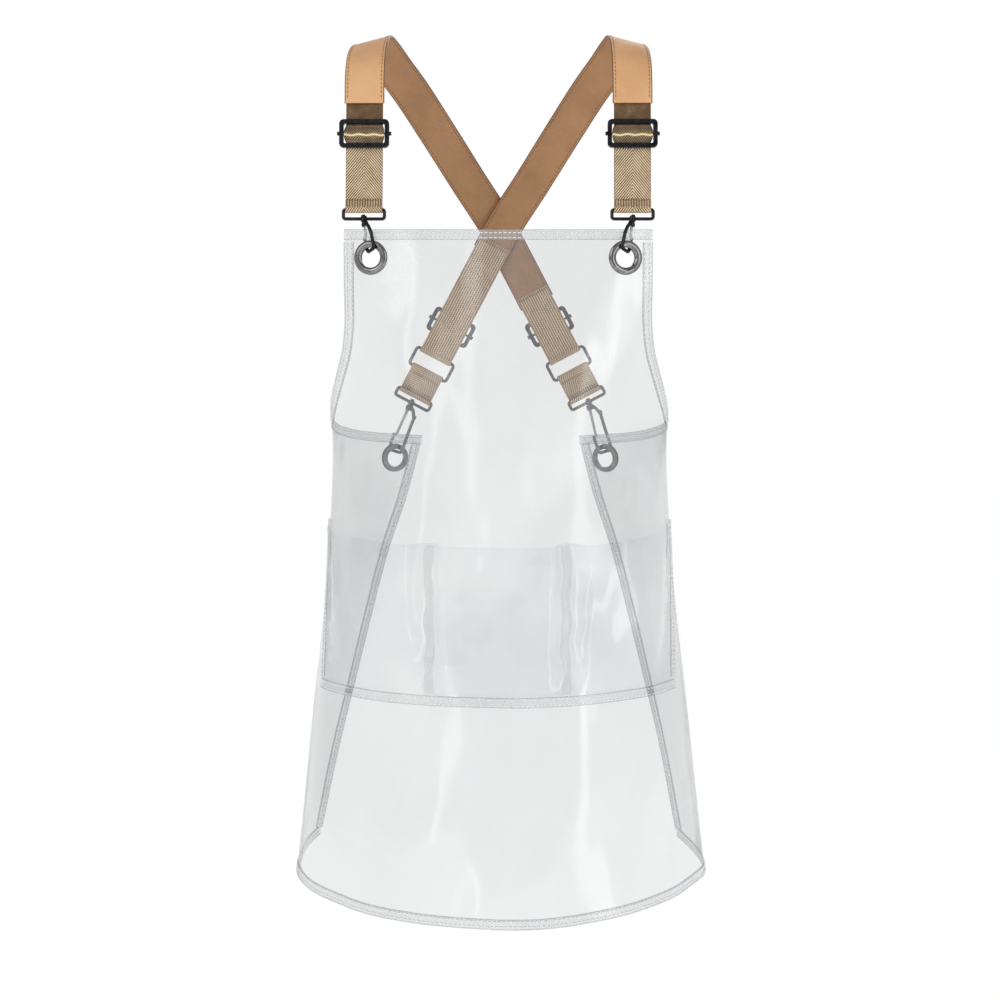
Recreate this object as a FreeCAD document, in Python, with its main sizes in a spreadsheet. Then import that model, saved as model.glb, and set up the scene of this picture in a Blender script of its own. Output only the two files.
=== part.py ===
"""Clear salon apron with crossed back straps.

Millimetres, +Z up, +Y towards the back of the wearer, -Y towards the front.
The origin is midway between the two points where the straps rest on the shoulders.
"left" and "right" are as seen from the front, so "left" is the -X side.
"""
import FreeCAD
import Part
import math
import os

V = FreeCAD.Vector

# Driving dimensions ------------------------------------------------------------------

DIMENSIONS = {
    # apron
    "bib_drop": 192.0,          # shoulder rest down to the top edge of the bib
    "bib_half_width": 154.2,
    "panel_thick": 1.0,
    "binding_width": 9.5,
    "binding_thick": 2.6,
    # pockets
    "pocket_thick": 0.8,
    "pocket_bulge": 18.0,
    "pocket_seam_x": 68.7,
    # eyelets
    "eyelet_hole": 10.0,
    "eyelet_barrel": 11.2,
    "front_flange": 17.2,
    "rear_flange": 15.7,
    # straps
    "strap_width": 40.0,
    "strap_thick": 3.0,
    "web_width": 37.0,
    "web_thick": 1.6,
    # adjusting sliders
    "slider_width": 50.0,
    "slider_height": 28.6,
    "slider_rail": 4.2,
    "slider_side": 4.4,
    "slider_thick": 4.4,
    "slider_bar": 1.3,
    "bar_play": 1.2,
    # rings and loops for the straps
    "ring_width": 49.0,
    "ring_height": 24.3,
    "ring_wire": 1.75,
    "loop_width": 44.5,
    "loop_height": 12.8,
    "loop_wire": 1.7,
    # snap hooks
    "hook_wire": 1.8,
    "rivet_radius": 1.0,
    "gate_thick": 1.8,
}

doc = FreeCAD.newDocument("salon_apron")
sheet = doc.addObject("Spreadsheet::Sheet", "dims")
for row, (alias, value) in enumerate(DIMENSIONS.items(), 1):
    sheet.set(f"A{row}", alias)
    sheet.set(f"B{row}", str(value))
    sheet.setAlias(f"B{row}", alias)
doc.recompute()


def dim(alias):
    """A driving dimension in millimetres."""
    return float(getattr(sheet, alias))


def drop(dz):
    """Height in the part's frame of a point dz above the bib's top edge."""
    return dz - dim("bib_drop")


NODES = []


def node(obj, name):
    """Mark a document object as one sub-part that is written to its own file."""
    obj.Label = name
    NODES.append(obj)
    return obj


# Small helpers -----------------------------------------------------------------------

def frame(origin, x_dir, z_dir):
    """Placement with local Z along z_dir and local X as near x_dir as possible."""
    z = V(z_dir).normalize()
    y = z.cross(V(x_dir)).normalize()
    x = y.cross(z)
    matrix = FreeCAD.Matrix(x.x, y.x, z.x, origin.x, x.y, y.y, z.y, origin.y,
                            x.z, y.z, z.z, origin.z, 0, 0, 0, 1)
    return FreeCAD.Placement(matrix)


def turn_z(degrees):
    """Placement that turns about local Z."""
    return FreeCAD.Placement(V(0, 0, 0), FreeCAD.Rotation(V(0, 0, 1), degrees))


def shift(x, y, z):
    """Placement that only moves."""
    return FreeCAD.Placement(V(x, y, z), FreeCAD.Rotation())


def rounded_box(width, height, radius):
    """Sketch edges of a rounded rectangle centred on the origin."""
    a, b = width / 2 - radius, height / 2 - radius
    edges = []
    corners = [(a, b, 0), (-a, b, 90), (-a, -b, 180), (a, -b, 270)]
    for cx, cy, start in corners:
        circle = Part.Circle(V(cx, cy, 0), V(0, 0, 1), radius)
        edges.append(Part.ArcOfCircle(circle, math.radians(start), math.radians(start + 90)))
    for (ax, ay, start), (bx, by, _) in zip(corners, corners[1:] + corners[:1]):
        out = V(math.cos(math.radians(start + 90)), math.sin(math.radians(start + 90)), 0) * radius
        edges.append(Part.LineSegment(V(ax, ay, 0) + out, V(bx, by, 0) + out))
    return edges


def circle_edge(x, y, radius):
    """Full circle for a sketch."""
    return Part.Circle(V(x, y, 0), V(0, 0, 1), radius)


def new_body(name, placement):
    """Empty PartDesign body standing at a placement."""
    body = doc.addObject("PartDesign::Body", name)
    body.Placement = placement
    return body


def sketch_on(body, role, edges, name):
    """Sketch attached to one of the body's own origin planes."""
    plane = [item for item in body.Origin.OriginFeatures if item.Role == role][0]
    sketch = body.newObject("Sketcher::SketchObject", name)
    sketch.AttachmentSupport = [(plane, "")]
    sketch.MapMode = "FlatFace"
    sketch.addGeometry(edges, False)
    return sketch


def pad(body, sketch, name, length):
    """Pad both ways from the sketch; length is a number or a dimension expression."""
    feature = body.newObject("PartDesign::Pad", name)
    feature.Profile = sketch
    feature.SideType = "Symmetric"
    if isinstance(length, str):
        feature.setExpression("Length", length)
    else:
        feature.Length = length
    body.Tip = feature
    return feature


def pocket(body, sketch, name, length):
    """Pocket both ways from the sketch."""
    feature = body.newObject("PartDesign::Pocket", name)
    feature.Profile = sketch
    feature.SideType = "Symmetric"
    feature.Length = length
    body.Tip = feature
    return feature


def solid_feature(name, shape, placement=None):
    """Computed solid that neither a sketch nor a primitive describes."""
    feature = doc.addObject("Part::Feature", name)
    feature.Shape = shape
    if placement:
        feature.Placement = placement
    return feature


def cylinder(name, radius, height, placement):
    """Part cylinder; radius may be a dimension expression."""
    item = doc.addObject("Part::Cylinder", name)
    if isinstance(radius, str):
        item.setExpression("Radius", radius)
    else:
        item.Radius = radius
    item.Height = height
    item.Placement = placement
    return item


def fuse(name, shapes):
    """Union of several Part objects."""
    item = doc.addObject("Part::MultiFuse", name)
    item.Shapes = shapes
    item.Refine = True
    return item


def cut(name, base, tool):
    """Difference of two Part objects."""
    item = doc.addObject("Part::Cut", name)
    item.Base = base
    item.Tool = tool
    return item


def common(name, base, tool):
    """Intersection of two Part objects."""
    item = doc.addObject("Part::Common", name)
    item.Base = base
    item.Tool = tool
    return item


def smooth(values, at):
    """Smooth interpolation of (station, value) pairs, stations falling."""
    count = len(values)
    for i in range(count - 1):
        if at >= values[i + 1][0] or i == count - 2:
            break
    z0, v0 = values[i]
    z1, v1 = values[i + 1]
    before = values[i - 1] if i > 0 else (2 * z0 - z1, 2 * v0 - v1)
    after = values[i + 2] if i + 2 < count else (2 * z1 - z0, 2 * v1 - v0)
    m0 = (v1 - before[1]) / (z1 - before[0]) * (z1 - z0)
    m1 = (after[1] - v0) / (after[0] - z0) * (z1 - z0)
    t = (at - z0) / (z1 - z0)
    return ((2 * t**3 - 3 * t**2 + 1) * v0 + (t**3 - 2 * t**2 + t) * m0
            + (-2 * t**3 + 3 * t**2) * v1 + (t**3 - t**2) * m1)


# Shell of the apron ------------------------------------------------------------------
# The sheet follows an oval that changes with height: half width, half depth and the
# place of its middle, each against the height under the bib's top edge.

STATIONS = [40, 0, -50, -100, -150, -200, -300, -400, -500, -600, -720]
HALF_WIDTH = list(zip(STATIONS, [300, 272, 240, 212, 190, 177, 179.5, 188, 200, 211, 224.5]))
HALF_DEPTH = list(zip(STATIONS, [96, 100, 104, 107, 110, 112, 114, 119, 130, 143, 158]))
MIDDLE_Y = list(zip(STATIONS, [-10, -15, -19, -23, -26, -28, -32, -35, -39, -42, -46]))


LEVELS = [40 - 40 * k for k in range(20)]
RINGS = [(smooth(HALF_WIDTH, dz), smooth(HALF_DEPTH, dz), smooth(MIDDLE_Y, dz)) for dz in LEVELS]


def oval(dz):
    """Half width, half depth and middle of the sheet's centre surface at a height."""
    k = max(0, min(len(LEVELS) - 2, int((LEVELS[0] - dz) / 40)))
    share = (LEVELS[k] - dz) / 40
    return tuple(low + (high - low) * share for low, high in zip(RINGS[k], RINGS[k + 1]))


def shell_point(angle, dz, out=0.0):
    """Point at an angle from the front (0) round to the right side (90) and back (180)."""
    a, b, mid = oval(dz)
    s, c = math.sin(angle), math.cos(angle)
    normal = V(s / a, -c / b, 0).normalize()
    return V(a * s, mid - b * c, drop(dz)) + normal * out, normal


def angle_of(x, dz, back=False):
    """Angle round the oval at a sideways distance x."""
    a = oval(dz)[0]
    angle = math.asin(max(-1.0, min(1.0, x / a)))
    return math.pi - angle if back else angle


def make_loft(name, out):
    """Solid filled oval loft, grown outwards by a distance."""
    rings = []
    for i, dz in enumerate(LEVELS):
        a, b, mid = oval(dz)
        ring = doc.addObject("Part::Ellipse", f"{name}_ring_{i}")
        ring.MajorRadius = a + out
        ring.MinorRadius = b + out
        ring.Placement = shift(0, mid, drop(dz))
        rings.append(ring)
    loft = doc.addObject("Part::Loft", name)
    loft.Sections = rings
    loft.Solid = True
    loft.Ruled = True
    return loft


def make_shell(name, thick):
    """Open-ended oval tube with its centre surface on the stations."""
    return cut(name, make_loft(name + "_outside", thick / 2), make_loft(name + "_inside", -thick / 2))


# Outline of the sheet, seen square from the front. The front part is cut by the bib,
# its armholes and the hem; the rest wraps round to two flaps behind.

ARMHOLE_FRONT = [(154.2, 0), (154.4, -50), (155.1, -100), (157.9, -121), (163.6, -142),
                 (170, -164), (174.7, -183), (176.8, -198)]
ARMHOLE_BACK = [(176.8, -198), (174, -205), (163, -212.5), (143, -219), (115, -223.5), (87.5, -226.6)]
FLAP_EDGE = [(87.5, -226.6), (104.5, -291), (124, -350), (140, -410), (159, -485), (180, -570), (200, -669)]
HEM_FRONT = [(0, -694), (80, -692.5), (150, -688), (200, -684.5), (240, -682)]
HEM_BACK = [(200, -669), (210, -675.5), (217, -680), (221, -683), (240, -682)]
SPLIT_Y = -30.0


def flat_curve(points, side=1):
    """Spline through (x, dz) points in the XZ plane; side -1 mirrors it."""
    curve = Part.BSplineCurve()
    curve.interpolate([V(side * x, 0, drop(z)) for x, z in points])
    return curve.toShape()


def flat_line(a, b, side=1):
    """Straight edge between two (x, dz) points in the XZ plane."""
    return Part.makeLine(V(side * a[0], 0, drop(a[1])), V(side * b[0], 0, drop(b[1])))


def prism(name, edges, y_from, y_to):
    """Upright cutter: a flat outline pushed along Y."""
    face = solid_feature(name + "_outline", Part.Face(Part.Wire(Part.__sortEdges__(edges))))
    face.Placement = shift(0, y_from, 0)
    item = doc.addObject("Part::Extrusion", name)
    item.Base = face
    item.DirMode = "Custom"
    item.Dir = V(0, 1, 0)
    item.LengthFwd = y_to - y_from
    item.Solid = True
    return item


def make_outline_cutter():
    """Everything inside the sheet's outline: bib, wrap and both flaps."""
    step = (240, -198)
    front = [flat_line((-154.2, 0), (154.2, 0))]
    for side in (1, -1):
        front += [flat_curve(ARMHOLE_FRONT, side), flat_line(ARMHOLE_FRONT[-1], step, side),
                  flat_line(step, HEM_FRONT[-1], side), flat_curve(HEM_FRONT, side)]
    pieces = [prism("front_cutter", front, -320, SPLIT_Y)]
    for side, word in ((1, "right"), (-1, "left")):
        back = [flat_line(step, ARMHOLE_BACK[0], side), flat_curve(ARMHOLE_BACK, side),
                flat_curve(FLAP_EDGE, side), flat_curve(HEM_BACK, side),
                flat_line(HEM_BACK[-1], step, side)]
        pieces.append(prism("flap_cutter_" + word, back, SPLIT_Y, 220))
    return fuse("outline_cutter", pieces)


def eyelet_frame(front, side):
    """Placement at an eyelet's centre, local Z along the outward normal."""
    x, dz = (127.2, -27.2) if front else (116.5, -249.3)
    angle = angle_of(side * x, dz, not front)
    point, flat = shell_point(angle, dz)
    up = shell_point(angle, dz + 8)[0] - shell_point(angle, dz - 8)[0]
    round_it = shell_point(angle + 0.05, dz)[0] - shell_point(angle - 0.05, dz)[0]
    normal = up.cross(round_it).normalize()
    if normal.dot(flat) < 0:
        normal = normal * -1
    return frame(point, V(0, 0, 1), normal)


def make_panel():
    """Clear sheet with its four eyelet holes."""
    panel = make_shell("panel_shell", dim("panel_thick"))
    for front, word in ((True, "front"), (False, "rear")):
        for side in (-1, 1):
            punch = doc.addObject("Part::Cone", f"punch_{word}_{side + 1}")
            punch.setExpression("Radius1", "dims.eyelet_barrel + 0.15")
            punch.setExpression("Radius2", "dims.eyelet_barrel + 0.25")
            punch.Height = 20
            punch.Placement = eyelet_frame(front, side).multiply(shift(0, 0, -10))
            panel = cut(f"panel_hole_{word}_{side + 1}", panel, punch)
    return node(common("panel", panel, make_outline_cutter()), "apron_panel")


# Bindings ----------------------------------------------------------------------------

def front_path(points, side):
    """Points and normals along (x, dz) outline points on the front of the shell."""
    return [shell_point(angle_of(side * x, z), z) for x, z in points]


def back_path(points, side):
    """Points and normals along (x, dz) outline points on the back of the shell."""
    return [shell_point(angle_of(side * x, z, True), z) for x, z in points]


def on_shell(point, out):
    """Nearest place on the shell at the same height, moved outwards."""
    dz = point.z + dim("bib_drop")
    a, b, mid = oval(dz)
    return shell_point(math.atan2(point.x / a, (mid - point.y) / b), dz, out)[0]


def band(path, inward, corners):
    """Ribbon along a path of (point, normal); inward tells which way it reaches.

    Corners of its section are (reach from the path, stand-off from the shell).
    """
    sections = []
    for i, (point, normal) in enumerate(path):
        before = path[max(i - 1, 0)][0]
        after = path[min(i + 1, len(path) - 1)][0]
        along = (after - before).normalize()
        across = along.cross(normal).normalize()
        if across.dot(inward(point)) < 0:
            across = across * -1
        ring = [on_shell(point + across * u, v) for u, v in corners]
        ring = [p - along * (p - point).dot(along) for p in ring]
        sections.append(Part.makePolygon(ring + ring[:1]))
    return Part.makeLoft(sections, True, False)


def fold_section():
    """U-shaped section of a tape folded over the sheet's edge."""
    width, half = dim("binding_width"), dim("binding_thick") / 2
    slot = dim("panel_thick") / 2 + 0.2
    reach = [width * k / 3 for k in (1, 2, 3)]
    outside = [(-0.9, half)] + [(u, half) for u in reach]
    return (outside + [(u, slot) for u in reversed(reach)] + [(-0.4, slot), (-0.4, -slot)]
            + [(u, -slot) for u in reach] + [(u, -v) for u, v in reversed(outside)])


def flat_section(width, low, high):
    """Section of a tape lying flat on the shell."""
    reach = [width * k / 3 for k in range(4)]
    return [(u, low) for u in reach] + [(u, high) for u in reversed(reach)]


def trim(path, first, last):
    """Path shortened by a length at each end."""
    result = [item for item in path]
    for count, at_start in ((first, True), (last, False)):
        if not at_start:
            result.reverse()
        while count > 0 and len(result) > 2:
            gap = (result[1][0] - result[0][0]).Length
            if gap > count + 1.0:
                share = count / gap
                moved = result[0][0] + (result[1][0] - result[0][0]) * share
                result[0] = (moved, result[0][1])
                count = 0
            else:
                result.pop(0)
                count -= gap
        if not at_start:
            result.reverse()
    return result


def fine(points, steps):
    """More points between outline points, for a band that has to lie on the shell."""
    curve = Part.BSplineCurve()
    curve.interpolate([V(x, 0, z) for x, z in points])
    first, last = curve.FirstParameter, curve.LastParameter
    spots = [curve.value(first + (last - first) * k / steps) for k in range(steps + 1)]
    return [(p.x, p.z) for p in spots]


def make_binding(name, path, inward):
    """Folded tape over an edge of the sheet."""
    return node(solid_feature(name + "_tape", band(path, inward, fold_section())), name)


def make_edge_bindings():
    """Tapes round the whole outline, one piece per edge."""
    top = [shell_point(angle_of(x, 0), 0) for x in (-154.2, -120, -80, -40, 0, 40, 80, 120, 154.2)]
    make_binding("bib_top_binding", top, lambda p: V(0, 0, -1))
    gap = dim("binding_width") + 0.3
    hem = []
    for side, word in ((-1, "left"), (1, "right")):
        arm = front_path(fine(ARMHOLE_FRONT, 16), side)
        arm = arm + [shell_point(side * math.pi / 2, -198)] + back_path(fine(ARMHOLE_BACK, 12), side)
        arm = trim(arm, gap, 0)

        def towards_sheet(p, s=side):
            if p.z > drop(-150):
                return V(-s, 0, 0)
            return V(-s * 0.3, 0, -1) if p.y < SPLIT_Y - 12 else V(0, 0, -1)
        make_binding(f"armhole_binding_{word}", arm, towards_sheet)
        flap = trim(back_path(fine(FLAP_EDGE, 14), side), gap + 3.0, gap + 1.5)
        make_binding(f"flap_binding_{word}", flap, lambda p, s=side: V(s, 0, -0.3))
        back_hem = back_path([(x, z) for x, z in fine(HEM_BACK, 6) if x < oval(z)[0] - 4], side)
        turn = [shell_point(side * math.radians(angle), dz)
                for angle, dz in ((98, -681.3), (90, -683.1), (82, -683.4))]
        hem.append(back_hem + turn)
    front_hem = front_path([(x, z) for x, z in fine(HEM_FRONT, 9) if x < 212], 1)
    mirrored = front_path([(x, z) for x, z in fine(HEM_FRONT, 9) if 0 < x < 212], -1)
    whole = hem[0] + list(reversed(mirrored)) + front_hem + list(reversed(hem[1]))
    make_binding("hem_binding", whole, lambda p: V(0, 0, 1))


# Pockets -----------------------------------------------------------------------------

POCKET_TOP = [(0, -311), (70, -311), (100, -308), (134, -303.5), (160, -300.5), (200, -300)]
POCKET_LEVELS = [(-292, 1.0), (-330, 0.97), (-370, 0.86), (-405, 0.68), (-432, 0.45), (-450, 0.2),
                 (-462, 0.0), (-474, 0.0)]


def pocket_side(dz):
    """Angle at which the pocket sheet is sewn to the side of the apron."""
    share = (-300 - dz) / 174
    return math.radians(84.5 - 15.5 * share)


def bulge(angle, dz, height):
    """Stand-off of the pocket sheet: three bellows between the sewn lines."""
    seam = angle_of(dim("pocket_seam_x"), dz)
    side = pocket_side(dz) - math.radians(5.5)
    if abs(angle) < seam:
        u = abs(angle) / seam
    else:
        u = abs(2 * (abs(angle) - seam) / (side - seam) - 1)
    flank = max(0.0, min(1.0, (u - 0.72) / 0.24))
    return dim("pocket_bulge") * height * (1 - flank**2 * (3 - 2 * flank))


def make_pocket_sheet():
    """Sheet of clear vinyl sewn on in front: one middle and two side pockets."""
    base = dim("panel_thick") / 2 + 0.3
    rings = []
    for dz, height in POCKET_LEVELS:
        seam = math.degrees(angle_of(dim("pocket_seam_x"), dz))
        side = math.degrees(pocket_side(dz))
        marks = [0.0, 0.4, 0.68, 0.76, 0.84, 0.92, 0.97, 1.0]
        angles = [seam * u for u in marks]
        middle, half = (seam + side - 5.5) / 2, (side - 5.5 - seam) / 2
        angles += [middle - half * u for u in reversed(marks[1:-1])] + [middle]
        angles += [middle + half * u for u in marks[1:]] + [side - 2, side]
        angles = [-a for a in reversed(angles[1:])] + angles
        inner, outer = [], []
        for a in angles:
            rise = bulge(math.radians(a), dz, height)
            inner.append(shell_point(math.radians(a), dz, base + rise)[0])
            outer.append(shell_point(math.radians(a), dz, base + rise + dim("pocket_thick"))[0])
        back, face = Part.BSplineCurve(), Part.BSplineCurve()
        back.interpolate(inner)
        face.interpolate(outer)
        ends = [Part.makeLine(inner[0], outer[0]), Part.makeLine(inner[-1], outer[-1])]
        rings.append(Part.Wire([back.toShape(), ends[1], face.toShape(), ends[0]]))
    loft = solid_feature("pocket_loft", Part.makeLoft(rings, True, True))
    edges = []
    for side in (1, -1):
        edges += [flat_curve(POCKET_TOP, side), flat_line((200, -300), (200, -480), side),
                  flat_line((0, -480), (200, -480), side)]
    mouth = prism("pocket_mouth", edges, -260, 0)
    return node(common("pocket_trimmed", loft, mouth), "pocket_sheet")


def make_pocket_bindings():
    """Tape over the sewn sides and the bottom of the pocket sheet."""
    low = dim("panel_thick") / 2 + 0.45 + dim("pocket_thick")
    high = low + 1.0
    levels = [-302, -330, -360, -395, -430, -463.5]
    for side, word in ((-1, "left"), (1, "right")):
        path = [shell_point(side * pocket_side(dz), dz) for dz in levels]
        strip = band(path, lambda p, s=side: V(-s, 0, 0), flat_section(8.0, low, high))
        node(solid_feature(f"pocket_side_{word}", strip), f"pocket_side_binding_{word}")
    reach = math.degrees(pocket_side(-474))
    path = [shell_point(math.radians(reach * k / 8), -474) for k in range(-8, 9)]
    strip = band(path, lambda p: V(0, 0, 1), flat_section(9.8, low, high))
    node(solid_feature("pocket_bottom", strip), "pocket_bottom_binding")


# Eyelets -----------------------------------------------------------------------------

def make_eyelet(name, placement, flange):
    """Rolled metal eyelet: barrel through the sheet and a domed flange outside."""
    body = new_body(name, placement)
    hole, barrel, rim = dim("eyelet_hole"), dim("eyelet_barrel"), dim(flange)
    crown = (hole + rim) / 2
    edges = [Part.LineSegment(V(hole, -2.6, 0), V(barrel, -2.6, 0)),
             Part.LineSegment(V(barrel, -2.6, 0), V(barrel, 0.75, 0)),
             Part.LineSegment(V(barrel, 0.75, 0), V(rim, 0.75, 0)),
             Part.Arc(V(rim, 0.75, 0), V(crown, 2.9, 0), V(hole, 1.1, 0)),
             Part.LineSegment(V(hole, 1.1, 0), V(hole, -2.6, 0))]
    profile = sketch_on(body, "XZ_Plane", edges, name + "_profile")
    turned = body.newObject("PartDesign::Revolution", name + "_turned")
    turned.Profile = profile
    turned.ReferenceAxis = (profile, ["V_Axis"])
    turned.Angle = 360
    body.Tip = turned
    return node(body, name)


def make_washer(name, placement, flange):
    """Back washer that the eyelet's barrel is rolled against."""
    body = new_body(name, placement.multiply(shift(0, 0, -2.2)))
    edges = [circle_edge(0, 0, dim("eyelet_barrel") + 0.1), circle_edge(0, 0, dim(flange) - 0.7)]
    pad(body, sketch_on(body, "XY_Plane", edges, name + "_rings"), name + "_plate", 0.8)
    return node(body, name)


# Straps ------------------------------------------------------------------------------
# Each strap is given by stations along its middle line for the strap that starts at the
# front left: x, y, height above the bib's top edge, and roll of its width in degrees.

RUN_FRONT = [(-134.4, -76.15, 125.8, 0.0), (-134.4, -74.6, 133.7, 0.0), (-134.4, -73.0, 141.8, 0.3)]
RUN_TOP = [(-134.3, -70.0, 152.5, 1.8), (-133.9, -63.0, 167.0, 5.0), (-132.7, -41.0, 184.5, 10.5),
           (-130.0, -8.0, 192.6, 16.0), (-123.5, 24.0, 185.5, 21.5), (-112.5, 47.0, 169.5, 27.0)]
RUN_BACK = [(-97.0, 63.0, 148.5, 31.0), (-71.8, 80.0, 110.0, 32.3), (-36.0, 96.5, 53.5, 31.0)]
CROSSING = (0.0, 105.5, -3.0, 29.5)
REAR_LINE = V(0.460, -0.180, -0.870).normalize()
CROSS_GAP = 3.4


def strap_stations(side):
    """Stations of one strap; the left one passes behind the right one at the crossing."""
    behind = CROSS_GAP if side > 0 else -CROSS_GAP
    cross = V(CROSSING[0], CROSSING[1] + behind, drop(CROSSING[2]))
    stations = [(V(x, y, drop(z)), roll) for x, y, z, roll in RUN_FRONT + RUN_TOP]
    for (x, y, z, roll), share in zip(RUN_BACK, (0.3, 0.7, 1.0)):
        stations.append((V(x, y + behind * share, drop(z)), roll))
    stations.append((cross, CROSSING[3]))
    steps = (25.0, 50.0, 72.0, 80.0, 88.5) if side > 0 else (10.0, 18.0, 26.0)
    for s in steps:
        stations.append((cross + rear_line(side) * s, 27.9))
    return stations


def rear_line(side):
    """Downward direction of the strap's straight lower run, before mirroring."""
    behind = CROSS_GAP if side > 0 else -CROSS_GAP
    return V(REAR_LINE.x, REAR_LINE.y - behind / 200.0, REAR_LINE.z).normalize()


def make_leather(name, side):
    """Leather part of a strap: from over the bib, over the shoulder and down the back."""
    stations = strap_stations(side)
    half_w, half_t = dim("strap_width") / 2, dim("strap_thick") / 2
    rings = []
    for i, (point, roll) in enumerate(stations):
        along = stations[min(i + 1, len(stations) - 1)][0] - stations[max(i - 1, 0)][0]
        width = V(math.cos(math.radians(roll)), 0, math.sin(math.radians(roll)))
        width = (width - along * (width.dot(along) / along.dot(along))).normalize()
        out = width.cross(along).normalize()
        corners = [(-half_w, -half_t), (half_w, -half_t), (half_w, half_t), (-half_w, half_t)]
        ring = [point + width * u + out * v for u, v in corners]
        ring = [V(p.x * side, p.y, p.z) for p in ring]
        rings.append(Part.makePolygon(ring + ring[:1]))
    return node(solid_feature(name + "_loft", Part.makeLoft(rings, True, False)), name)


def mirror(vector, side):
    """Strap coordinates are written for the left one; side -1 is its mirror image."""
    return V(vector.x * side, vector.y, vector.z)


FRONT_UP = V(0.0, 0.1985, 0.9801).normalize()
FRONT_LOOP = V(-134.4, -97.5, 20.6)
FRONT_RUN = 107.5
BACK_OFFSET = dim("strap_thick") / 2 + 0.25


def front_frame(side):
    """Frame at the front strap's lower loop bar: Z up the strap, -Y away from the wearer."""
    point = V(FRONT_LOOP.x, FRONT_LOOP.y, drop(FRONT_LOOP.z))
    return frame(mirror(point, side), V(1, 0, 0), mirror(FRONT_UP, side))


def rear_frame(side, along):
    """Frame on a strap's lower run: Z up the strap, +Y away from the wearer."""
    behind = CROSS_GAP if side > 0 else -CROSS_GAP
    cross = V(CROSSING[0], CROSSING[1] + behind, drop(CROSSING[2]))
    point = mirror(cross + rear_line(side) * along, side)
    up = mirror(rear_line(side) * -1, side)
    width = mirror(V(0.884, 0, 0.468), side)
    return frame(point, width if side > 0 else width * -1, up)


def web_profile(run, wire, out):
    """Side view of a webbing run: an eye round a bar, a doubled end, a single strip."""
    t = dim("web_thick")
    eye = wire + 0.3
    rim = eye + t
    rise = math.sqrt(rim**2 - t**2)
    seam = rim + 6.5
    start, stop = math.atan2(rise, -t), math.atan2(rise, t) + 2 * math.pi
    arc = Part.ArcOfCircle(Part.Circle(V(0, 0, 0), V(0, 0, 1), rim), start, stop)
    left, right = arc.StartPoint, arc.EndPoint
    inner, outer = (left, right) if out > 0 else (right, left)
    step = [V(0, seam + 1.0, 0), V(0, run, 0), V(-t * out, run, 0)]
    path = [outer, V(t * out, seam, 0)] + step + [inner]
    lines = [Part.LineSegment(a, b) for a, b in zip(path, path[1:])]
    return [arc] + lines + [circle_edge(0, 0, eye)]


def make_webbing(name, placement, run, wire, out):
    """Strip of webbing folded round a bar at its lower end and sewn to itself."""
    body = new_body(name, placement)
    side_view = sketch_on(body, "YZ_Plane", web_profile(run, wire, out), name + "_side_view")
    pad(body, side_view, name + "_strip", "dims.web_width")
    return node(body, name)


def make_tab(name, placement, span, ring_wire, loop_wire):
    """Short doubled tab with an eye at each end, from the rectangular ring to the loop."""
    t = dim("web_thick")
    body = new_body(name, placement)
    edges = []
    for height, wire, up in ((0.0, loop_wire, -1), (span, ring_wire, 1)):
        rim = wire + 0.3 + t
        rise = math.sqrt(rim**2 - t**2)
        tilt = math.atan2(rise, t)
        circle = Part.Circle(V(0, height, 0), V(0, 0, 1), rim)
        if up < 0:
            edges.append(Part.ArcOfCircle(circle, math.pi - tilt, 2 * math.pi + tilt))
        else:
            edges.append(Part.ArcOfCircle(circle, -tilt, math.pi + tilt))
    low, high = edges
    edges.append(Part.LineSegment(low.EndPoint, high.StartPoint))
    edges.append(Part.LineSegment(low.StartPoint, high.EndPoint))
    edges.append(circle_edge(0, 0, loop_wire + 0.3))
    edges.append(circle_edge(0, span, ring_wire + 0.3))
    side_view = sketch_on(body, "YZ_Plane", edges, name + "_side_view")
    pad(body, side_view, name + "_strip", "dims.web_width")
    return node(body, name)


# Sliders -----------------------------------------------------------------------------
# Local frame: Z up the strap, the strip's outer face at y = 0, the slider on the side
# given by out (-1 in front, +1 behind).

def make_slider(place, placement, out):
    """Adjusting slider: frame, loose cross bar and the webbing looped over the bar."""
    width, height = dim("slider_width"), dim("slider_height")
    thick = dim("slider_thick")
    centre = out * (0.35 + thick / 2)
    spot = placement.multiply(shift(0, centre, 0))
    body = new_body(f"slider_frame_{place}", spot)
    window = (width - 2 * dim("slider_side"), height - 2 * dim("slider_rail"))
    edges = rounded_box(width, height, 4.5) + rounded_box(window[0], window[1], 2.0)
    pad(body, sketch_on(body, "XZ_Plane", edges, f"slider_ring_{place}"), f"slider_plate_{place}",
        "dims.slider_thick")
    radius = dim("slider_bar")
    play = dim("bar_play")
    half = radius + 0.08
    slot = rounded_box(2 * half, 2 * (half + play), half - 0.001)
    pocket(body, sketch_on(body, "YZ_Plane", slot, f"slider_slot_{place}"), f"slider_slots_{place}",
           width + 4)
    node(body, f"slider_frame_{place}")
    across = FreeCAD.Placement(V(0, 0, 0), FreeCAD.Rotation(V(0, 1, 0), 90))
    rod = cylinder(f"bar_rod_{place}", "dims.slider_bar", width + 2.6,
                   spot.multiply(across).multiply(shift(0, 0, -width / 2 - 1.3)))
    heads = []
    for end in (-1, 1):
        start = width / 2 + 0.12 if end > 0 else -width / 2 - 2.12
        heads.append(cylinder(f"bar_head_{place}_{end + 1}", radius + 0.7, 2.0,
                              spot.multiply(across).multiply(shift(0, 0, start))))
    node(fuse(f"bar_{place}", [rod] + heads), f"slider_bar_{place}")
    make_fold(place, placement, out, centre)


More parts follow.
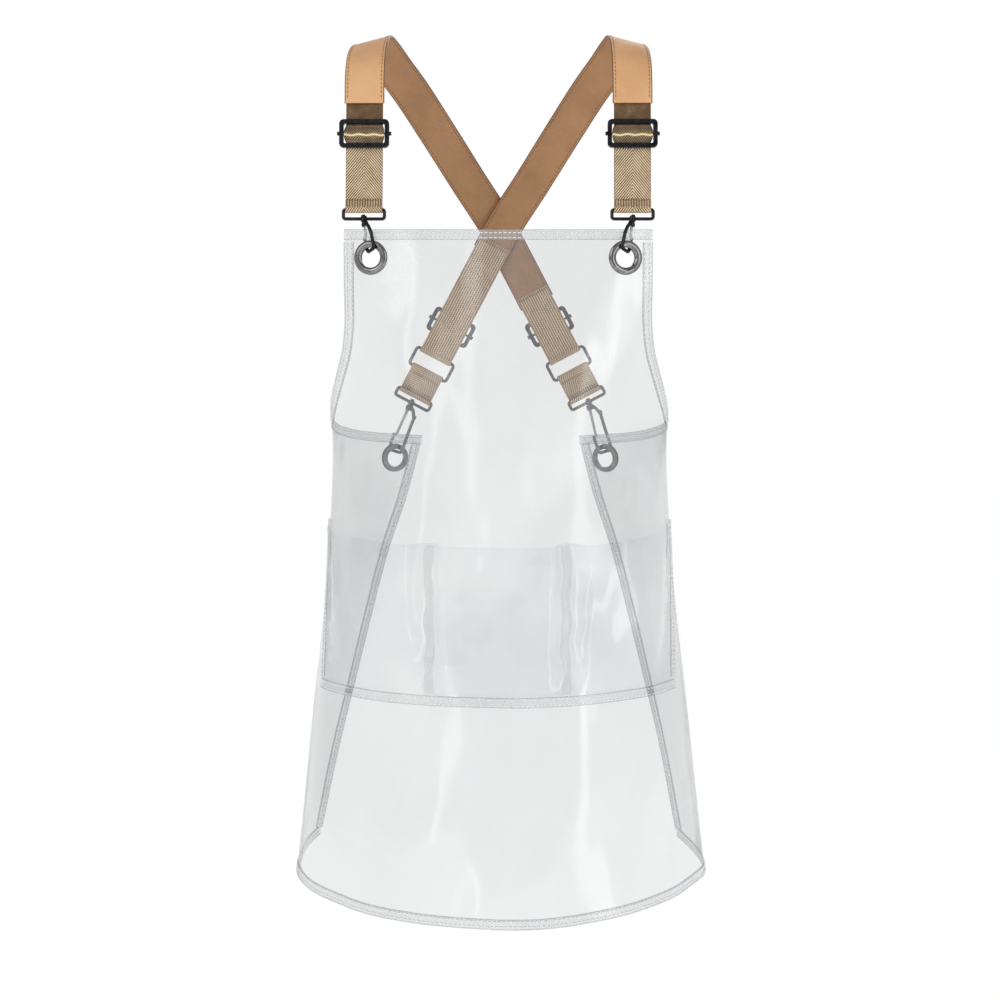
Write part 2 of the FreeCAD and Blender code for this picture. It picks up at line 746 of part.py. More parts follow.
def make_fold(place, placement, out, centre):
    """Webbing that rises from the strip, passes over the bar and goes back down."""
    t = 1.3
    top = centre + out * (dim("slider_bar") + 0.1)
    inner = [(out * 0.4, 8.6), (out * 0.55, 6.4), (top - out * 1.7, 3.6), (top, 0),
             (top - out * 1.7, -3.6), (out * 0.55, -6.4), (out * 0.4, -8.6)]
    outer = [(out * (0.4 + t), 8.6), (out * (0.7 + t), 6.9), (top - out * (1.5 - t), 4.3),
             (top + out * t, 0), (top - out * (1.5 - t), -4.3), (out * (0.7 + t), -6.9),
             (out * (0.4 + t), -8.6)]
    edges = []
    for points in (inner, outer):
        curve = Part.BSplineCurve()
        curve.interpolate([V(a, b, 0) for a, b in points])
        edges.append(curve)
    edges.append(Part.LineSegment(V(*inner[0], 0), V(*outer[0], 0)))
    edges.append(Part.LineSegment(V(*inner[-1], 0), V(*outer[-1], 0)))
    body = new_body(f"slider_fold_{place}", placement)
    pad(body, sketch_on(body, "YZ_Plane", edges, f"fold_side_{place}"), f"fold_{place}",
        "dims.web_width")
    node(body, f"slider_fold_{place}")


# Rings, loops and snap hooks ---------------------------------------------------------

def wire_ring(name, placement, width, height, wire, corner):
    """Closed rounded rectangle of round wire in the local XZ plane, centred."""
    outline = rounded_box(width - 2 * wire, height - 2 * wire, corner)
    edges = [edge.toShape() for edge in outline]
    spine = Part.Wire(Part.__sortEdges__(edges))
    up = FreeCAD.Placement(V(0, 0, 0), FreeCAD.Rotation(V(1, 0, 0), 90))
    path = solid_feature(name + "_path", spine, placement.multiply(up))
    section = doc.addObject("Part::Circle", name + "_section")
    section.Radius = wire
    turn = FreeCAD.Placement(V(0, height / 2 - wire, 0), FreeCAD.Rotation(V(0, 1, 0), 90))
    section.Placement = placement.multiply(up).multiply(turn)
    sweep = doc.addObject("Part::Sweep", name + "_sweep")
    sweep.Sections = [section]
    sweep.Spine = (path, [f"Edge{i + 1}" for i in range(len(spine.Edges))])
    sweep.Solid = True
    sweep.Frenet = False
    sweep.Transition = "Transformed"
    return sweep


BOSS_RADIUS = 3.4
STEM_RADIUS = 1.3


def make_loop(place, placement, swivel):
    """Loop for the strap: upper bar at the placement, boss on the lower bar along the swivel."""
    height = dim("loop_height")
    reach = height - 2 * dim("loop_wire")
    wire = wire_ring(f"loop_wire_{place}", placement.multiply(shift(0, 0, -reach / 2)),
                     dim("loop_width"), height, dim("loop_wire"), 2.4)
    boss = cylinder(f"loop_boss_{place}", BOSS_RADIUS, 4.8,
                    swivel.multiply(shift(0, 0, -2.6)).multiply(turn_z(17)))
    drill = cylinder(f"loop_drill_{place}", STEM_RADIUS + 0.08, 12,
                     swivel.multiply(shift(0, 0, -6)).multiply(turn_z(41)))
    return node(cut(f"loop_{place}", fuse(f"loop_solid_{place}", [wire, boss]), drill),
                f"strap_loop_{place}")


def make_hook(place, placement, length, arm, nose, nose_top, rivet):
    """Swivel snap hook, its sprung gate and the gate's rivet.

    Local origin on the loop's lower bar, Z up along the swivel, the hook's back at -Y.
    """
    wire = dim("hook_wire")
    ry, rz = rivet
    stem = cylinder(f"hook_stem_{place}", STEM_RADIUS, 6.0, placement.multiply(shift(0, 0, -3.2)))
    knob = doc.addObject("Part::Cone", f"hook_knob_{place}")
    knob.Radius1 = 2.6
    knob.Radius2 = 1.9
    knob.Height = 1.7
    knob.Placement = placement.multiply(shift(0, 0, 2.4))
    collar = doc.addObject("Part::Cone", f"hook_collar_{place}")
    collar.Radius1 = 2.9
    collar.Radius2 = 2.5
    collar.Height = 1.4
    collar.Placement = placement.multiply(shift(0, 0, -4.15))
    neck_low = rz - 1.7
    neck = doc.addObject("Part::Box", f"hook_neck_{place}")
    neck.Length, neck.Width, neck.Height = 4.8, ry + 4.8, -3.6 - neck_low
    neck.Placement = placement.multiply(shift(-2.4, -2.8, neck_low))
    turn = 3.0
    points = [V(0, -1.2, -4.6), V(0, -arm * 0.66, -8.5), V(0, -arm * 0.96, -14.0), V(0, -arm, turn - length)]
    shoulder = Part.BSplineCurve()
    shoulder.interpolate(points, InitialTangent=V(0, -1, -0.6), FinalTangent=V(0, 0, -1))
    bends = []
    for y, start in ((turn - arm, 180), (nose - turn, 270)):
        bends.append(quarter(V(0, y, turn - length), turn, start))
    flat = Part.makeLine(V(0, turn - arm, -length), V(0, nose - turn, -length))
    rise = Part.makeLine(V(0, nose, turn - length), V(0, nose, nose_top))
    spine = Part.Wire([shoulder.toShape(), bends[0], flat, bends[1], rise])
    path = solid_feature(f"hook_path_{place}", spine, placement)
    section = doc.addObject("Part::Circle", f"hook_section_{place}")
    section.setExpression("Radius", "dims.hook_wire")
    tangent = shoulder.tangent(shoulder.FirstParameter)[0]
    section.Placement = placement.multiply(frame(points[0], V(1, 0, 0), tangent))
    sweep = doc.addObject("Part::Sweep", f"hook_sweep_{place}")
    sweep.Sections = [section]
    sweep.Spine = (path, [f"Edge{i + 1}" for i in range(5)])
    sweep.Solid = True
    sweep.Frenet = False
    tip = doc.addObject("Part::Sphere", f"hook_tip_{place}")
    tip.Radius = wire
    tip.Placement = placement.multiply(shift(0, nose, nose_top))
    solid = fuse(f"hook_solid_{place}", [stem, knob, collar, neck, sweep, tip])
    slot = doc.addObject("Part::Box", f"hook_slot_{place}")
    slot.Length, slot.Width, slot.Height = 2.0, 14.0, rz + 2.4 - neck_low + 1.0
    slot.Placement = placement.multiply(shift(-1.0, ry - 2.4, neck_low - 1.0))
    across = FreeCAD.Placement(V(0, 0, 0), FreeCAD.Rotation(V(0, 1, 0), 90))
    drill = cylinder(f"rivet_drill_{place}", "dims.rivet_radius", 8,
                     placement.multiply(shift(-4, ry, rz)).multiply(across))
    tools = fuse(f"hook_tools_{place}", [slot, drill])
    node(cut(f"hook_cut_{place}", solid, tools), f"snap_hook_{place}")
    make_rivet(place, placement.multiply(shift(0, ry, rz)).multiply(across))
    make_gate(place, placement, rivet, (nose - wire - 0.3, nose_top - 0.5))


def quarter(centre, radius, start):
    """Quarter circle in the local YZ plane, anticlockwise from an angle measured from +Y."""
    spots = []
    for step in (0, 45, 90):
        angle = math.radians(start + step)
        spots.append(centre + V(0, math.cos(angle), math.sin(angle)) * radius)
    return Part.Arc(*spots).toShape()


def make_rivet(place, placement):
    """Rivet through the hook's two ears with low domed heads."""
    pin = cylinder(f"rivet_pin_{place}", "dims.rivet_radius", 5.0, placement.multiply(shift(0, 0, -2.5)))
    heads = []
    for end in (-1, 1):
        head = doc.addObject("Part::Cone", f"rivet_head_{place}_{end + 1}")
        head.Radius1 = 1.8
        head.Radius2 = 1.2
        head.Height = 0.6
        flip = FreeCAD.Rotation(V(1, 0, 0), 0 if end > 0 else 180)
        head.Placement = placement.multiply(FreeCAD.Placement(V(0, 0, end * 2.42), flip))
        heads.append(head)
    node(fuse(f"rivet_{place}", [pin] + heads), f"gate_rivet_{place}")


def make_gate(place, placement, rivet, end):
    """Gate: an eye on the rivet and a bar down to the inside of the hook's nose."""
    ry, rz = rivet
    ey, ez = end
    eye, half = 1.9, 1.1
    along = V(ey - half - ry, ez - rz, 0).normalize()
    out = V(-along.y, along.x, 0)
    tip = V(ey - half, ez, 0)
    root = V(ry, rz, 0)
    shank = 1.4
    reach = math.sqrt(eye**2 - shank**2)
    outline = [root + out * shank + along * reach, tip + out * half, tip + along * 0.6 - out * half * 0.2,
               tip - out * half, root - out * shank + along * reach]
    lines = [Part.LineSegment(a, b) for a, b in zip(outline, outline[1:])]
    angle = math.atan2(out.y, out.x)
    swing = math.asin(reach / eye)
    ring = Part.Circle(root, V(0, 0, 1), eye)
    arc = Part.ArcOfCircle(ring, angle - swing, angle + math.pi + swing)
    body = new_body(f"gate_body_{place}", placement)
    edges = lines + [arc, circle_edge(ry, rz, dim("rivet_radius") + 0.06)]
    side_view = sketch_on(body, "YZ_Plane", edges, f"gate_side_{place}")
    pad(body, side_view, f"gate_plate_{place}", "dims.gate_thick")
    node(body, f"gate_{place}")


# Assembly ----------------------------------------------------------------------------

SLIDER_FRONT = 76.3
SLIDER_REAR = 119.0
RING_REAR = 165.6
FRONT_SWIVEL = 30.0
REAR_SWIVEL = 60.0


def make_front(side):
    """Front end of one strap, from the leather down to its eyelet."""
    place = "front_left" if side > 0 else "front_right"
    bar = front_frame(side).multiply(shift(0, BACK_OFFSET, 0))
    make_webbing(f"webbing_{place}", bar, FRONT_RUN + 12.0, dim("loop_wire"), -1)
    make_slider(place, bar.multiply(shift(0, 0, SLIDER_FRONT)), -1)
    reach = dim("loop_height") - 2 * dim("loop_wire")
    swivel, length = hook_frame(bar.multVec(V(0, 0, -reach)), eyelet_top(True, -side),
                                side * FRONT_SWIVEL)
    make_loop(place, bar, swivel)
    make_hook(place, swivel, length, 8.0, 7.4, -17.6, (1.2, -5.9))


def eyelet_top(front, side):
    """Lowest point the hook's wire may sit at: under the top of the eyelet's hole."""
    centre = eyelet_frame(front, side)
    up = V(0, 0, 1)
    across = centre.Rotation.multVec(V(0, 0, 1))
    up = (up - across * up.dot(across)).normalize()
    return centre.Base + up * (dim("eyelet_hole") - dim("hook_wire") - 0.9)


def hook_frame(origin, target, turn):
    """Frame of a hook reaching from its loop to the eyelet, turned on its stem, and its length."""
    up = origin - target
    base = frame(origin, V(1, 0, 0), up)
    return base.multiply(turn_z(turn)), up.Length


def make_rear(side):
    """Lower run of one strap behind the wearer, from the leather down to the flap."""
    place = "rear_right" if side > 0 else "rear_left"
    rear_leather = 88.5 if side > 0 else 26.0
    top_bar = RING_REAR - dim("ring_height") / 2 + dim("ring_wire")
    eye = rear_frame(side, top_bar).multiply(shift(0, -BACK_OFFSET, 0))
    make_webbing(f"webbing_{place}", eye, top_bar - rear_leather + 12.0, dim("ring_wire"), 1)
    make_slider(place, rear_frame(side, SLIDER_REAR).multiply(shift(0, -BACK_OFFSET, 0)), 1)
    drop_bar = dim("ring_height") - 2 * dim("ring_wire")
    node(wire_ring(f"ring_{place}", eye.multiply(shift(0, 0, -drop_bar / 2)), dim("ring_width"),
                   dim("ring_height"), dim("ring_wire"), 3.2), f"strap_ring_{place}")
    span = 28.4
    loop_bar = eye.multiply(shift(0, 0, -drop_bar - span))
    make_tab(f"tab_{place}", loop_bar, span, dim("ring_wire"), dim("loop_wire"))
    reach = dim("loop_height") - 2 * dim("loop_wire")
    origin = loop_bar.multVec(V(0, 0, -reach))
    turn = REAR_SWIVEL if side < 0 else 180 - REAR_SWIVEL
    swivel, length = hook_frame(origin, eyelet_top(False, side), turn)
    make_loop(place, loop_bar, swivel)
    make_hook(place, swivel, length, 9.0, 8.6, -39.0, (1.6, -7.4))


def build():
    """Whole apron."""
    make_panel()
    make_edge_bindings()
    make_pocket_sheet()
    make_pocket_bindings()
    for side, word in ((-1, "left"), (1, "right")):
        front, rear = eyelet_frame(True, side), eyelet_frame(False, side)
        make_eyelet(f"eyelet_front_{word}", front, "front_flange")
        make_eyelet(f"eyelet_rear_{word}", rear, "rear_flange")
        make_washer(f"eyelet_washer_front_{word}", front, "front_flange")
        make_washer(f"eyelet_washer_rear_{word}", rear, "rear_flange")
    for side, word in ((1, "left"), (-1, "right")):
        make_leather(f"leather_strap_{word}", side)
        make_front(side)
        make_rear(side)


build()
doc.recompute()

os.makedirs("parts", exist_ok=True)
for item in doc.Objects:
    if "Invalid" in item.State or "Error" in item.State:
        raise RuntimeError(f"{item.Name} did not compute: {item.State}")
for item in NODES:
    if item.Shape.isNull() or not item.Shape.isValid() or not item.Shape.Solids:
        raise RuntimeError(f"{item.Label} is not a valid solid")
for item in NODES:
    item.Shape.exportStep(f"parts/{item.Label}.step")
print(f"{len(NODES)} sub-parts written")
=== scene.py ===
"""Looks of the clear salon apron with crossed back straps.

Lengths inside this file are millimetres until a mesh is made; dz is the height over the
bib's top edge.  Angles run round the sheet: 0 in front, 90 degrees at the right, 180 behind.
"""

import math

import bpy
import numpy as np
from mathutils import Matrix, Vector


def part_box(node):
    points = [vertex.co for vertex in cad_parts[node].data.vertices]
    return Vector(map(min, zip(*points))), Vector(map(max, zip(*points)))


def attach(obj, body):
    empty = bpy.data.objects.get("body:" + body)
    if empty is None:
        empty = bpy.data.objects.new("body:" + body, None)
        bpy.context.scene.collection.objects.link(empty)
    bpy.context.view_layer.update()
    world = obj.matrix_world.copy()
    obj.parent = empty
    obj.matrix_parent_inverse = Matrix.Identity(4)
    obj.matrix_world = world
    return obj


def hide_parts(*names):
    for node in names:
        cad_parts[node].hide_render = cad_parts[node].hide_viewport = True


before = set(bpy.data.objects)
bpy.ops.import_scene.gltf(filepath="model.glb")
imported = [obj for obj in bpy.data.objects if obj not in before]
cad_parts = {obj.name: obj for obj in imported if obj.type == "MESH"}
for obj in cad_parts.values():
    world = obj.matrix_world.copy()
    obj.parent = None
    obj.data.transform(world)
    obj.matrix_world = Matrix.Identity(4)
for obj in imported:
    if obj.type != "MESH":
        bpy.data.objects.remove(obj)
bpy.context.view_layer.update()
MM = 0.001

# Camera ------------------------------------------------------------------------------

SENSOR_WIDTH = 36.0
LENS = 64.0
CAMERA_PLACE = (0.026, -1.900, -0.192)
LOOK_DOWN = 8.64
LOOK_LEFT = 0.75

camera_data = bpy.data.cameras.new("camera")
camera_data.sensor_width = SENSOR_WIDTH
camera_data.lens = LENS
camera = bpy.data.objects.new("camera", camera_data)
camera.location = CAMERA_PLACE
camera.rotation_euler = (math.radians(90.0 - LOOK_DOWN), 0.0, math.radians(LOOK_LEFT))
bpy.context.scene.collection.objects.link(camera)
bpy.context.scene.camera = camera
bpy.context.scene.view_settings.view_transform = "Standard"

# Shape of the sheet, as in the CAD part ----------------------------------------------

BIB_DROP = 192.0
STATIONS = [40, 0, -50, -100, -150, -200, -300, -400, -500, -600, -720]
HALF_WIDTH = list(zip(STATIONS, [300, 272, 240, 212, 190, 177, 179.5, 188, 200, 211, 224.5]))
HALF_DEPTH = list(zip(STATIONS, [96, 100, 104, 107, 110, 112, 114, 119, 130, 143, 158]))
MIDDLE_Y = list(zip(STATIONS, [-10, -15, -19, -23, -26, -28, -32, -35, -39, -42, -46]))
ARMHOLE_FRONT = [(154.2, 0), (154.4, -50), (155.1, -100), (157.9, -121), (163.6, -142),
                 (170, -164), (174.7, -183), (176.8, -198)]
ARMHOLE_BACK = [(176.8, -198), (174, -205), (163, -212.5), (143, -219), (115, -223.5),
                (87.5, -226.6)]
FLAP_EDGE = [(87.5, -226.6), (104.5, -291), (124, -350), (140, -410), (159, -485), (180, -570),
             (200, -669)]
HEM_FRONT = [(0, -694), (80, -692.5), (150, -688), (200, -684.5), (240, -682)]
HEM_BACK = [(200, -669), (210, -675.5), (217, -680), (221, -683), (240, -682)]
POCKET_TOP = [(0, -311), (70, -311), (100, -308), (134, -303.5), (160, -300.5), (200, -300)]
POCKET_LEVELS = [(-292, 1.0), (-330, 0.97), (-370, 0.86), (-405, 0.68), (-432, 0.45),
                 (-450, 0.2), (-462, 0.0), (-474, 0.0)]
POCKET_SEAM_X = 68.7
POCKET_BULGE = 18.0
BINDING_WIDTH = 9.5
SIDE_DZ = ARMHOLE_FRONT[-1][1]
FLAP_TOP = FLAP_EDGE[0][1]
FLAP_FOOT = FLAP_EDGE[-1][1]
EYELETS = [(127.2, -27.2, False), (-127.2, -27.2, False), (116.5, -249.3, True),
           (-116.5, -249.3, True)]


def smooth(values, at):
    """Smooth interpolation of (station, value) pairs, stations falling."""
    count = len(values)
    for i in range(count - 1):
        if at >= values[i + 1][0] or i == count - 2:
            break
    z0, v0 = values[i]
    z1, v1 = values[i + 1]
    before = values[i - 1] if i > 0 else (2 * z0 - z1, 2 * v0 - v1)
    after = values[i + 2] if i + 2 < count else (2 * z1 - z0, 2 * v1 - v0)
    m0 = (v1 - before[1]) / (z1 - before[0]) * (z1 - z0)
    m1 = (after[1] - v0) / (after[0] - z0) * (z1 - z0)
    t = (at - z0) / (z1 - z0)
    return ((2 * t**3 - 3 * t**2 + 1) * v0 + (t**3 - 2 * t**2 + t) * m0
            + (-2 * t**3 + 3 * t**2) * v1 + (t**3 - t**2) * m1)


def oval(dz):
    """Half width, half depth and middle of the sheet at a height."""
    return smooth(HALF_WIDTH, dz), smooth(HALF_DEPTH, dz), smooth(MIDDLE_Y, dz)


def angle_of(x, dz, back=False):
    """Angle round the oval at a sideways distance x."""
    angle = math.asin(max(-1.0, min(1.0, x / oval(dz)[0])))
    return math.pi - angle if back else angle


# Soft folds: none down to RIPPLE_TOP, full RIPPLE_FADE lower, growing from waist to hem, and
# calmed within CALM_REACH of an eyelet.
RIPPLE_TOP = 12.0
RIPPLE_FADE = 90.0
RIPPLE_BIB = 0.55
RIPPLE_SKIRT = 2.6
WAIST_DROP = 180.0
HEM_DROP = 694.0
CALM_REACH = 45.0
CALM_END = -330
MEAN_RADIUS = 180.0


def ripple(angle, dz):
    """Soft hanging folds of the vinyl, still where the eyelets and the top tape hold it."""
    depth = min(1.0, max(0.0, -dz - RIPPLE_TOP) / RIPPLE_FADE)
    depth *= RIPPLE_BIB + RIPPLE_SKIRT * max(0.0, -dz - WAIST_DROP) / (HEM_DROP - WAIST_DROP)
    if dz > CALM_END:
        for x, height, back in EYELETS:
            gap = MEAN_RADIUS * (angle - angle_of(x, height, back))
            depth *= 1.0 - math.exp(-(gap**2 + (dz - height) ** 2) / CALM_REACH**2)
    lean = dz / 300.0
    wave = 0.50 * math.sin(5.2 * angle + 0.8 + 0.5 * lean)
    wave += 0.32 * math.sin(9.1 * angle - 1.7 - 0.9 * lean)
    wave += 0.18 * math.sin(15.3 * angle + 2.3 + 1.6 * lean)
    return depth * wave


def shell_point(angle, dz, out=0.0):
    """Point of the sheet and the level direction square to it, out from its middle surface."""
    a, b, mid = oval(dz)
    s, c = math.sin(angle), math.cos(angle)
    normal = np.array((s / a, -c / b, 0.0))
    normal /= np.linalg.norm(normal)
    point = np.array((a * s, mid - b * c, dz - BIB_DROP))
    return point + normal * (out + ripple(angle, dz)), normal


def edge_angle(dz):
    """Angle of the sheet's cut edge at a height above the hem."""
    for points, back in ((ARMHOLE_FRONT, False), (ARMHOLE_BACK, True), (FLAP_EDGE, True)):
        if dz >= points[-1][1]:
            return angle_of(smooth([(z, x) for x, z in points], dz), dz, back)
    return angle_of(FLAP_EDGE[-1][0], FLAP_EDGE[-1][1], True)


def hem_height(angle):
    """Height of the hem at an angle."""
    x = abs(oval(-684.0)[0] * math.sin(angle))
    points = HEM_BACK if abs(angle) > math.pi / 2 else HEM_FRONT
    return float(np.interp(x, [p[0] for p in points], [p[1] for p in points]))


# Mesh helpers ------------------------------------------------------------------------

def curve_through(points, step):
    """Smooth run of points through control points, about step apart."""
    p = np.array(points, float)
    t = np.concatenate([[0.0], np.cumsum(np.linalg.norm(np.diff(p[:, :3], axis=0), axis=1))])
    slope = np.gradient(p, t, axis=0)
    at = np.linspace(0, t[-1], max(3, int(round(t[-1] / step)) + 1))
    i = np.clip(np.searchsorted(t, at, side="right") - 1, 0, len(t) - 2)
    h = (t[i + 1] - t[i])[:, None]
    u = ((at - t[i])[:, None]) / h
    return ((2 * u**3 - 3 * u**2 + 1) * p[i] + (u**3 - 2 * u**2 + u) * h * slope[i]
            + (-2 * u**3 + 3 * u**2) * p[i + 1] + (u**3 - u**2) * h * slope[i + 1])


def unit(v):
    """Vectors scaled to length one."""
    return v / np.linalg.norm(v, axis=-1, keepdims=True)


def loft_faces(rings, points, first=0):
    """Quads between closed rings of points, and a cap at each end."""
    i = np.arange(rings - 1)[:, None]
    j = np.arange(points)[None, :]
    k = (j + 1) % points
    quads = np.stack([i * points + j, i * points + k, (i + 1) * points + k,
                      (i + 1) * points + j], -1)
    faces = (quads.reshape(-1, 4) + first).tolist()
    faces.append([first + n for n in reversed(range(points))])
    faces.append([first + (rings - 1) * points + n for n in range(points)])
    return faces


def outward(verts, faces):
    """Faces turned so that the closed mesh's normals point outwards."""
    v = np.asarray(verts)
    quads = np.array([f[:4] for f in faces if len(f) == 4])
    a, b, c, d = (v[quads[:, n]] for n in range(4))
    volume = (np.einsum("ij,ij->i", a, np.cross(b, c))
              + np.einsum("ij,ij->i", a, np.cross(c, d))).sum()
    return faces if volume > 0 else [list(reversed(f)) for f in faces]


def add_mesh(name, verts, faces, materials, body="apron", replaces=(), sharp=40.0,
             material_index=None, tone_with_painted_light=None):
    """Mesh object from millimetre points, riding on a body."""
    mesh = bpy.data.meshes.new(name)
    mesh.from_pydata((np.asarray(verts, float) * MM).tolist(), [], faces)
    for item in materials:
        mesh.materials.append(item)
    mesh.shade_smooth()
    mesh.set_sharp_from_angle(angle=math.radians(sharp))
    if material_index is not None:
        mesh.polygons.foreach_set("material_index", np.asarray(material_index, np.int32))
    if tone_with_painted_light is not None:
        layer = mesh.attributes.new("tone_with_painted_light", "FLOAT", "POINT")
        layer.data.foreach_set("value", np.asarray(tone_with_painted_light, np.float32))
    mesh.update()
    obj = bpy.data.objects.new(name, mesh)
    bpy.context.scene.collection.objects.link(obj)
    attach(obj, body)
    if replaces:
        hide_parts(*replaces)
    return obj


class Thread:
    """Collects short sewn stitches as small closed beads of thread."""

    SIDES = 6
    RINGS = ((-1.0, 0.35), (-0.72, 0.85), (0.0, 1.0), (0.72, 0.85), (1.0, 0.35))

    def __init__(self):
        self.verts = []
        self.faces = []

    def stitch(self, centre, along, out, length, radius, rise):
        """One stitch lying along a direction, arched a little off its surface."""
        side = np.cross(along, out)
        first = len(self.verts)
        for t, scale in self.RINGS:
            middle = centre + along * (t * length / 2) + out * rise * (1 - t * t)
            for n in range(self.SIDES):
                turn = 2 * math.pi * n / self.SIDES
                offset = side * math.cos(turn) + out * 0.7 * math.sin(turn)
                self.verts.append(middle + offset * radius * scale)
        self.faces += loft_faces(len(self.RINGS), self.SIDES, first)

    def row(self, points, outs, pitch, length, radius, rise=0.12, slant=0.0):
        """Stitches at an even pitch along a line of points with their surface normals."""
        points, outs = np.asarray(points), np.asarray(outs)
        reach = np.concatenate([[0.0], np.cumsum(np.linalg.norm(np.diff(points, axis=0), axis=1))])
        count = int(reach[-1] / pitch)
        for n in range(count):
            at = (n + 0.5) * reach[-1] / count
            centre = np.array([np.interp(at, reach, points[:, k]) for k in range(3)])
            ahead = np.array([np.interp(at + 0.8, reach, points[:, k]) for k in range(3)])
            behind = np.array([np.interp(at - 0.8, reach, points[:, k]) for k in range(3)])
            along = unit(ahead - behind)
            out = np.array([np.interp(at, reach, outs[:, k]) for k in range(3)])
            out = unit(out - along * out.dot(along))
            along = unit(along + np.cross(out, along) * slant)
            self.stitch(centre, along, out, length, radius, rise)

    def done(self, name, material, body="apron"):
        """The collected stitches as one object."""
        return add_mesh(name, self.verts, self.faces, [material], body, sharp=80.0)


# Materials ---------------------------------------------------------------------------

def put(tree, kind, settings=None, **sockets):
    """Shader node with its sockets set or linked; a key i0, i1 is a socket's number."""
    item = tree.nodes.new("ShaderNode" + kind)
    for key, value in (settings or {}).items():
        setattr(item, key, value)
    for key, value in sockets.items():
        index = int(key[1:]) if key[0] == "i" and key[1:].isdigit() else key.replace("_", " ")
        if isinstance(value, bpy.types.NodeSocket):
            tree.links.new(value, item.inputs[index])
        else:
            item.inputs[index].default_value = value
    return item


def srgb(red, green, blue, alpha=1.0):
    """Linear colour from display values of 0 to 255."""
    def line(value):
        value /= 255.0
        return value / 12.92 if value <= 0.04045 else ((value + 0.055) / 1.055) ** 2.4
    return (line(red), line(green), line(blue), alpha)


def new_material(name):
    """Empty node material, its tree and its object-space coordinates."""
    item = bpy.data.materials.new(name)
    item.use_nodes = True
    item.node_tree.nodes.clear()
    return item, item.node_tree, put(item.node_tree, "TexCoord").outputs["Object"]


def noise(tree, place, scale, detail=3.0, rough=0.5):
    """Noise factor in object space."""
    return put(tree, "TexNoise", Vector=place, Scale=scale, Detail=detail,
               Roughness=rough).outputs[0]


def ramp(tree, factor, *stops):
    """Colour ramp from (place, colour) stops."""
    item = put(tree, "ValToRGB", Fac=factor)
    table = item.color_ramp.elements
    while len(table) < len(stops):
        table.new(0.5)
    for element, (place, colour) in zip(table, stops):
        element.position = place
        element.color = colour
    return item.outputs[0]


def spread(tree, factor, low, high):
    """Factor stretched to a range."""
    return put(tree, "MapRange", Value=factor, To_Min=low, To_Max=high).outputs[0]


def scaled(tree, value, by, plus):
    """A value times one number, plus another."""
    return put(tree, "Math", {"operation": "MULTIPLY_ADD"}, i0=value, i1=by, i2=plus).outputs[0]


def bump(tree, height, strength, distance):
    """Normal tilted by a height."""
    return put(tree, "Bump", Strength=strength, Distance=distance, Height=height).outputs[0]


def finish_material(tree, shader):
    """Joins a shader to the material's output."""
    put(tree, "OutputMaterial", Surface=shader)


def make_vinyl(name, clear, cloudy, haze, gloss=0.05, wobble=0.7):
    """Clear vinyl: neutral tint per face, sharp gloss that grows at low angles, slight haze."""
    item, tree, place = new_material(name)
    tint = ramp(tree, noise(tree, place, 7.0, 2.0), (0.3, clear), (0.7, cloudy))
    hang = put(tree, "Mapping", Vector=place, Scale=(1.0, 1.0, 0.45)).outputs[0]
    swell = noise(tree, hang, 9.0, 1.5, 0.35)
    bumped = bump(tree, swell, wobble, 0.05)
    see = put(tree, "BsdfTransparent", Color=tint).outputs[0]
    rough = spread(tree, noise(tree, place, 60.0, 4.0), gloss * 0.6, gloss * 1.8)
    shine = put(tree, "BsdfGlossy", Color=(1, 1, 1, 1), Roughness=rough, Normal=bumped).outputs[0]
    veil = put(tree, "BsdfDiffuse", Color=srgb(236, 238, 240), Roughness=0.4).outputs[0]
    cloud = spread(tree, noise(tree, place, 34.0, 5.0, 0.6), haze * 0.6, haze * 1.5)
    body = put(tree, "MixShader", i0=cloud, i1=see, i2=veil).outputs[0]
    facing = put(tree, "LayerWeight", Blend=0.5, Normal=bumped).outputs["Facing"]
    grazing = put(tree, "Math", {"operation": "POWER"}, i0=facing, i1=4.0).outputs[0]
    share = scaled(tree, grazing, 0.42, 0.035)
    both = put(tree, "MixShader", i0=share, i1=body, i2=shine).outputs[0]
    finish_material(tree, both)
    return item


def make_tape(name, cover, tint):
    """Translucent tape, finely grained, with painted shade along its two edges: darker and less
    clear where the mesh's tone is one.
    """
    item, tree, place = new_material(name)
    grain = noise(tree, place, 900.0, 4.0, 0.7)
    patch = noise(tree, place, 40.0, 3.0)
    rim = put(tree, "Attribute", {"attribute_name": "tone_with_painted_light"}).outputs["Fac"]
    # Painted shade: darker towards the tape's two edges.
    shade = scaled(tree, rim, -0.7, patch)
    colour = ramp(tree, shade, (0.0, srgb(*(c - 66 for c in tint))), (0.3, srgb(*tint)),
                  (0.75, srgb(*(min(255, c + 14) for c in tint))))
    bumped = bump(tree, grain, 0.2, 0.0003)
    plastic = put(tree, "BsdfPrincipled", Base_Color=colour,
                  Roughness=spread(tree, grain, 0.32, 0.6), Normal=bumped).outputs[0]
    see = put(tree, "BsdfTransparent", Color=(0.982, 0.984, 0.984, 1)).outputs[0]
    even = spread(tree, noise(tree, place, 90.0, 3.0), cover * 0.8, cover * 1.2)
    # Painted shade: less see-through along the tape's two edges.
    amount = scaled(tree, rim, 0.28, even)
    finish_material(tree, put(tree, "MixShader", i0=amount, i1=see, i2=plastic).outputs[0])
    return item


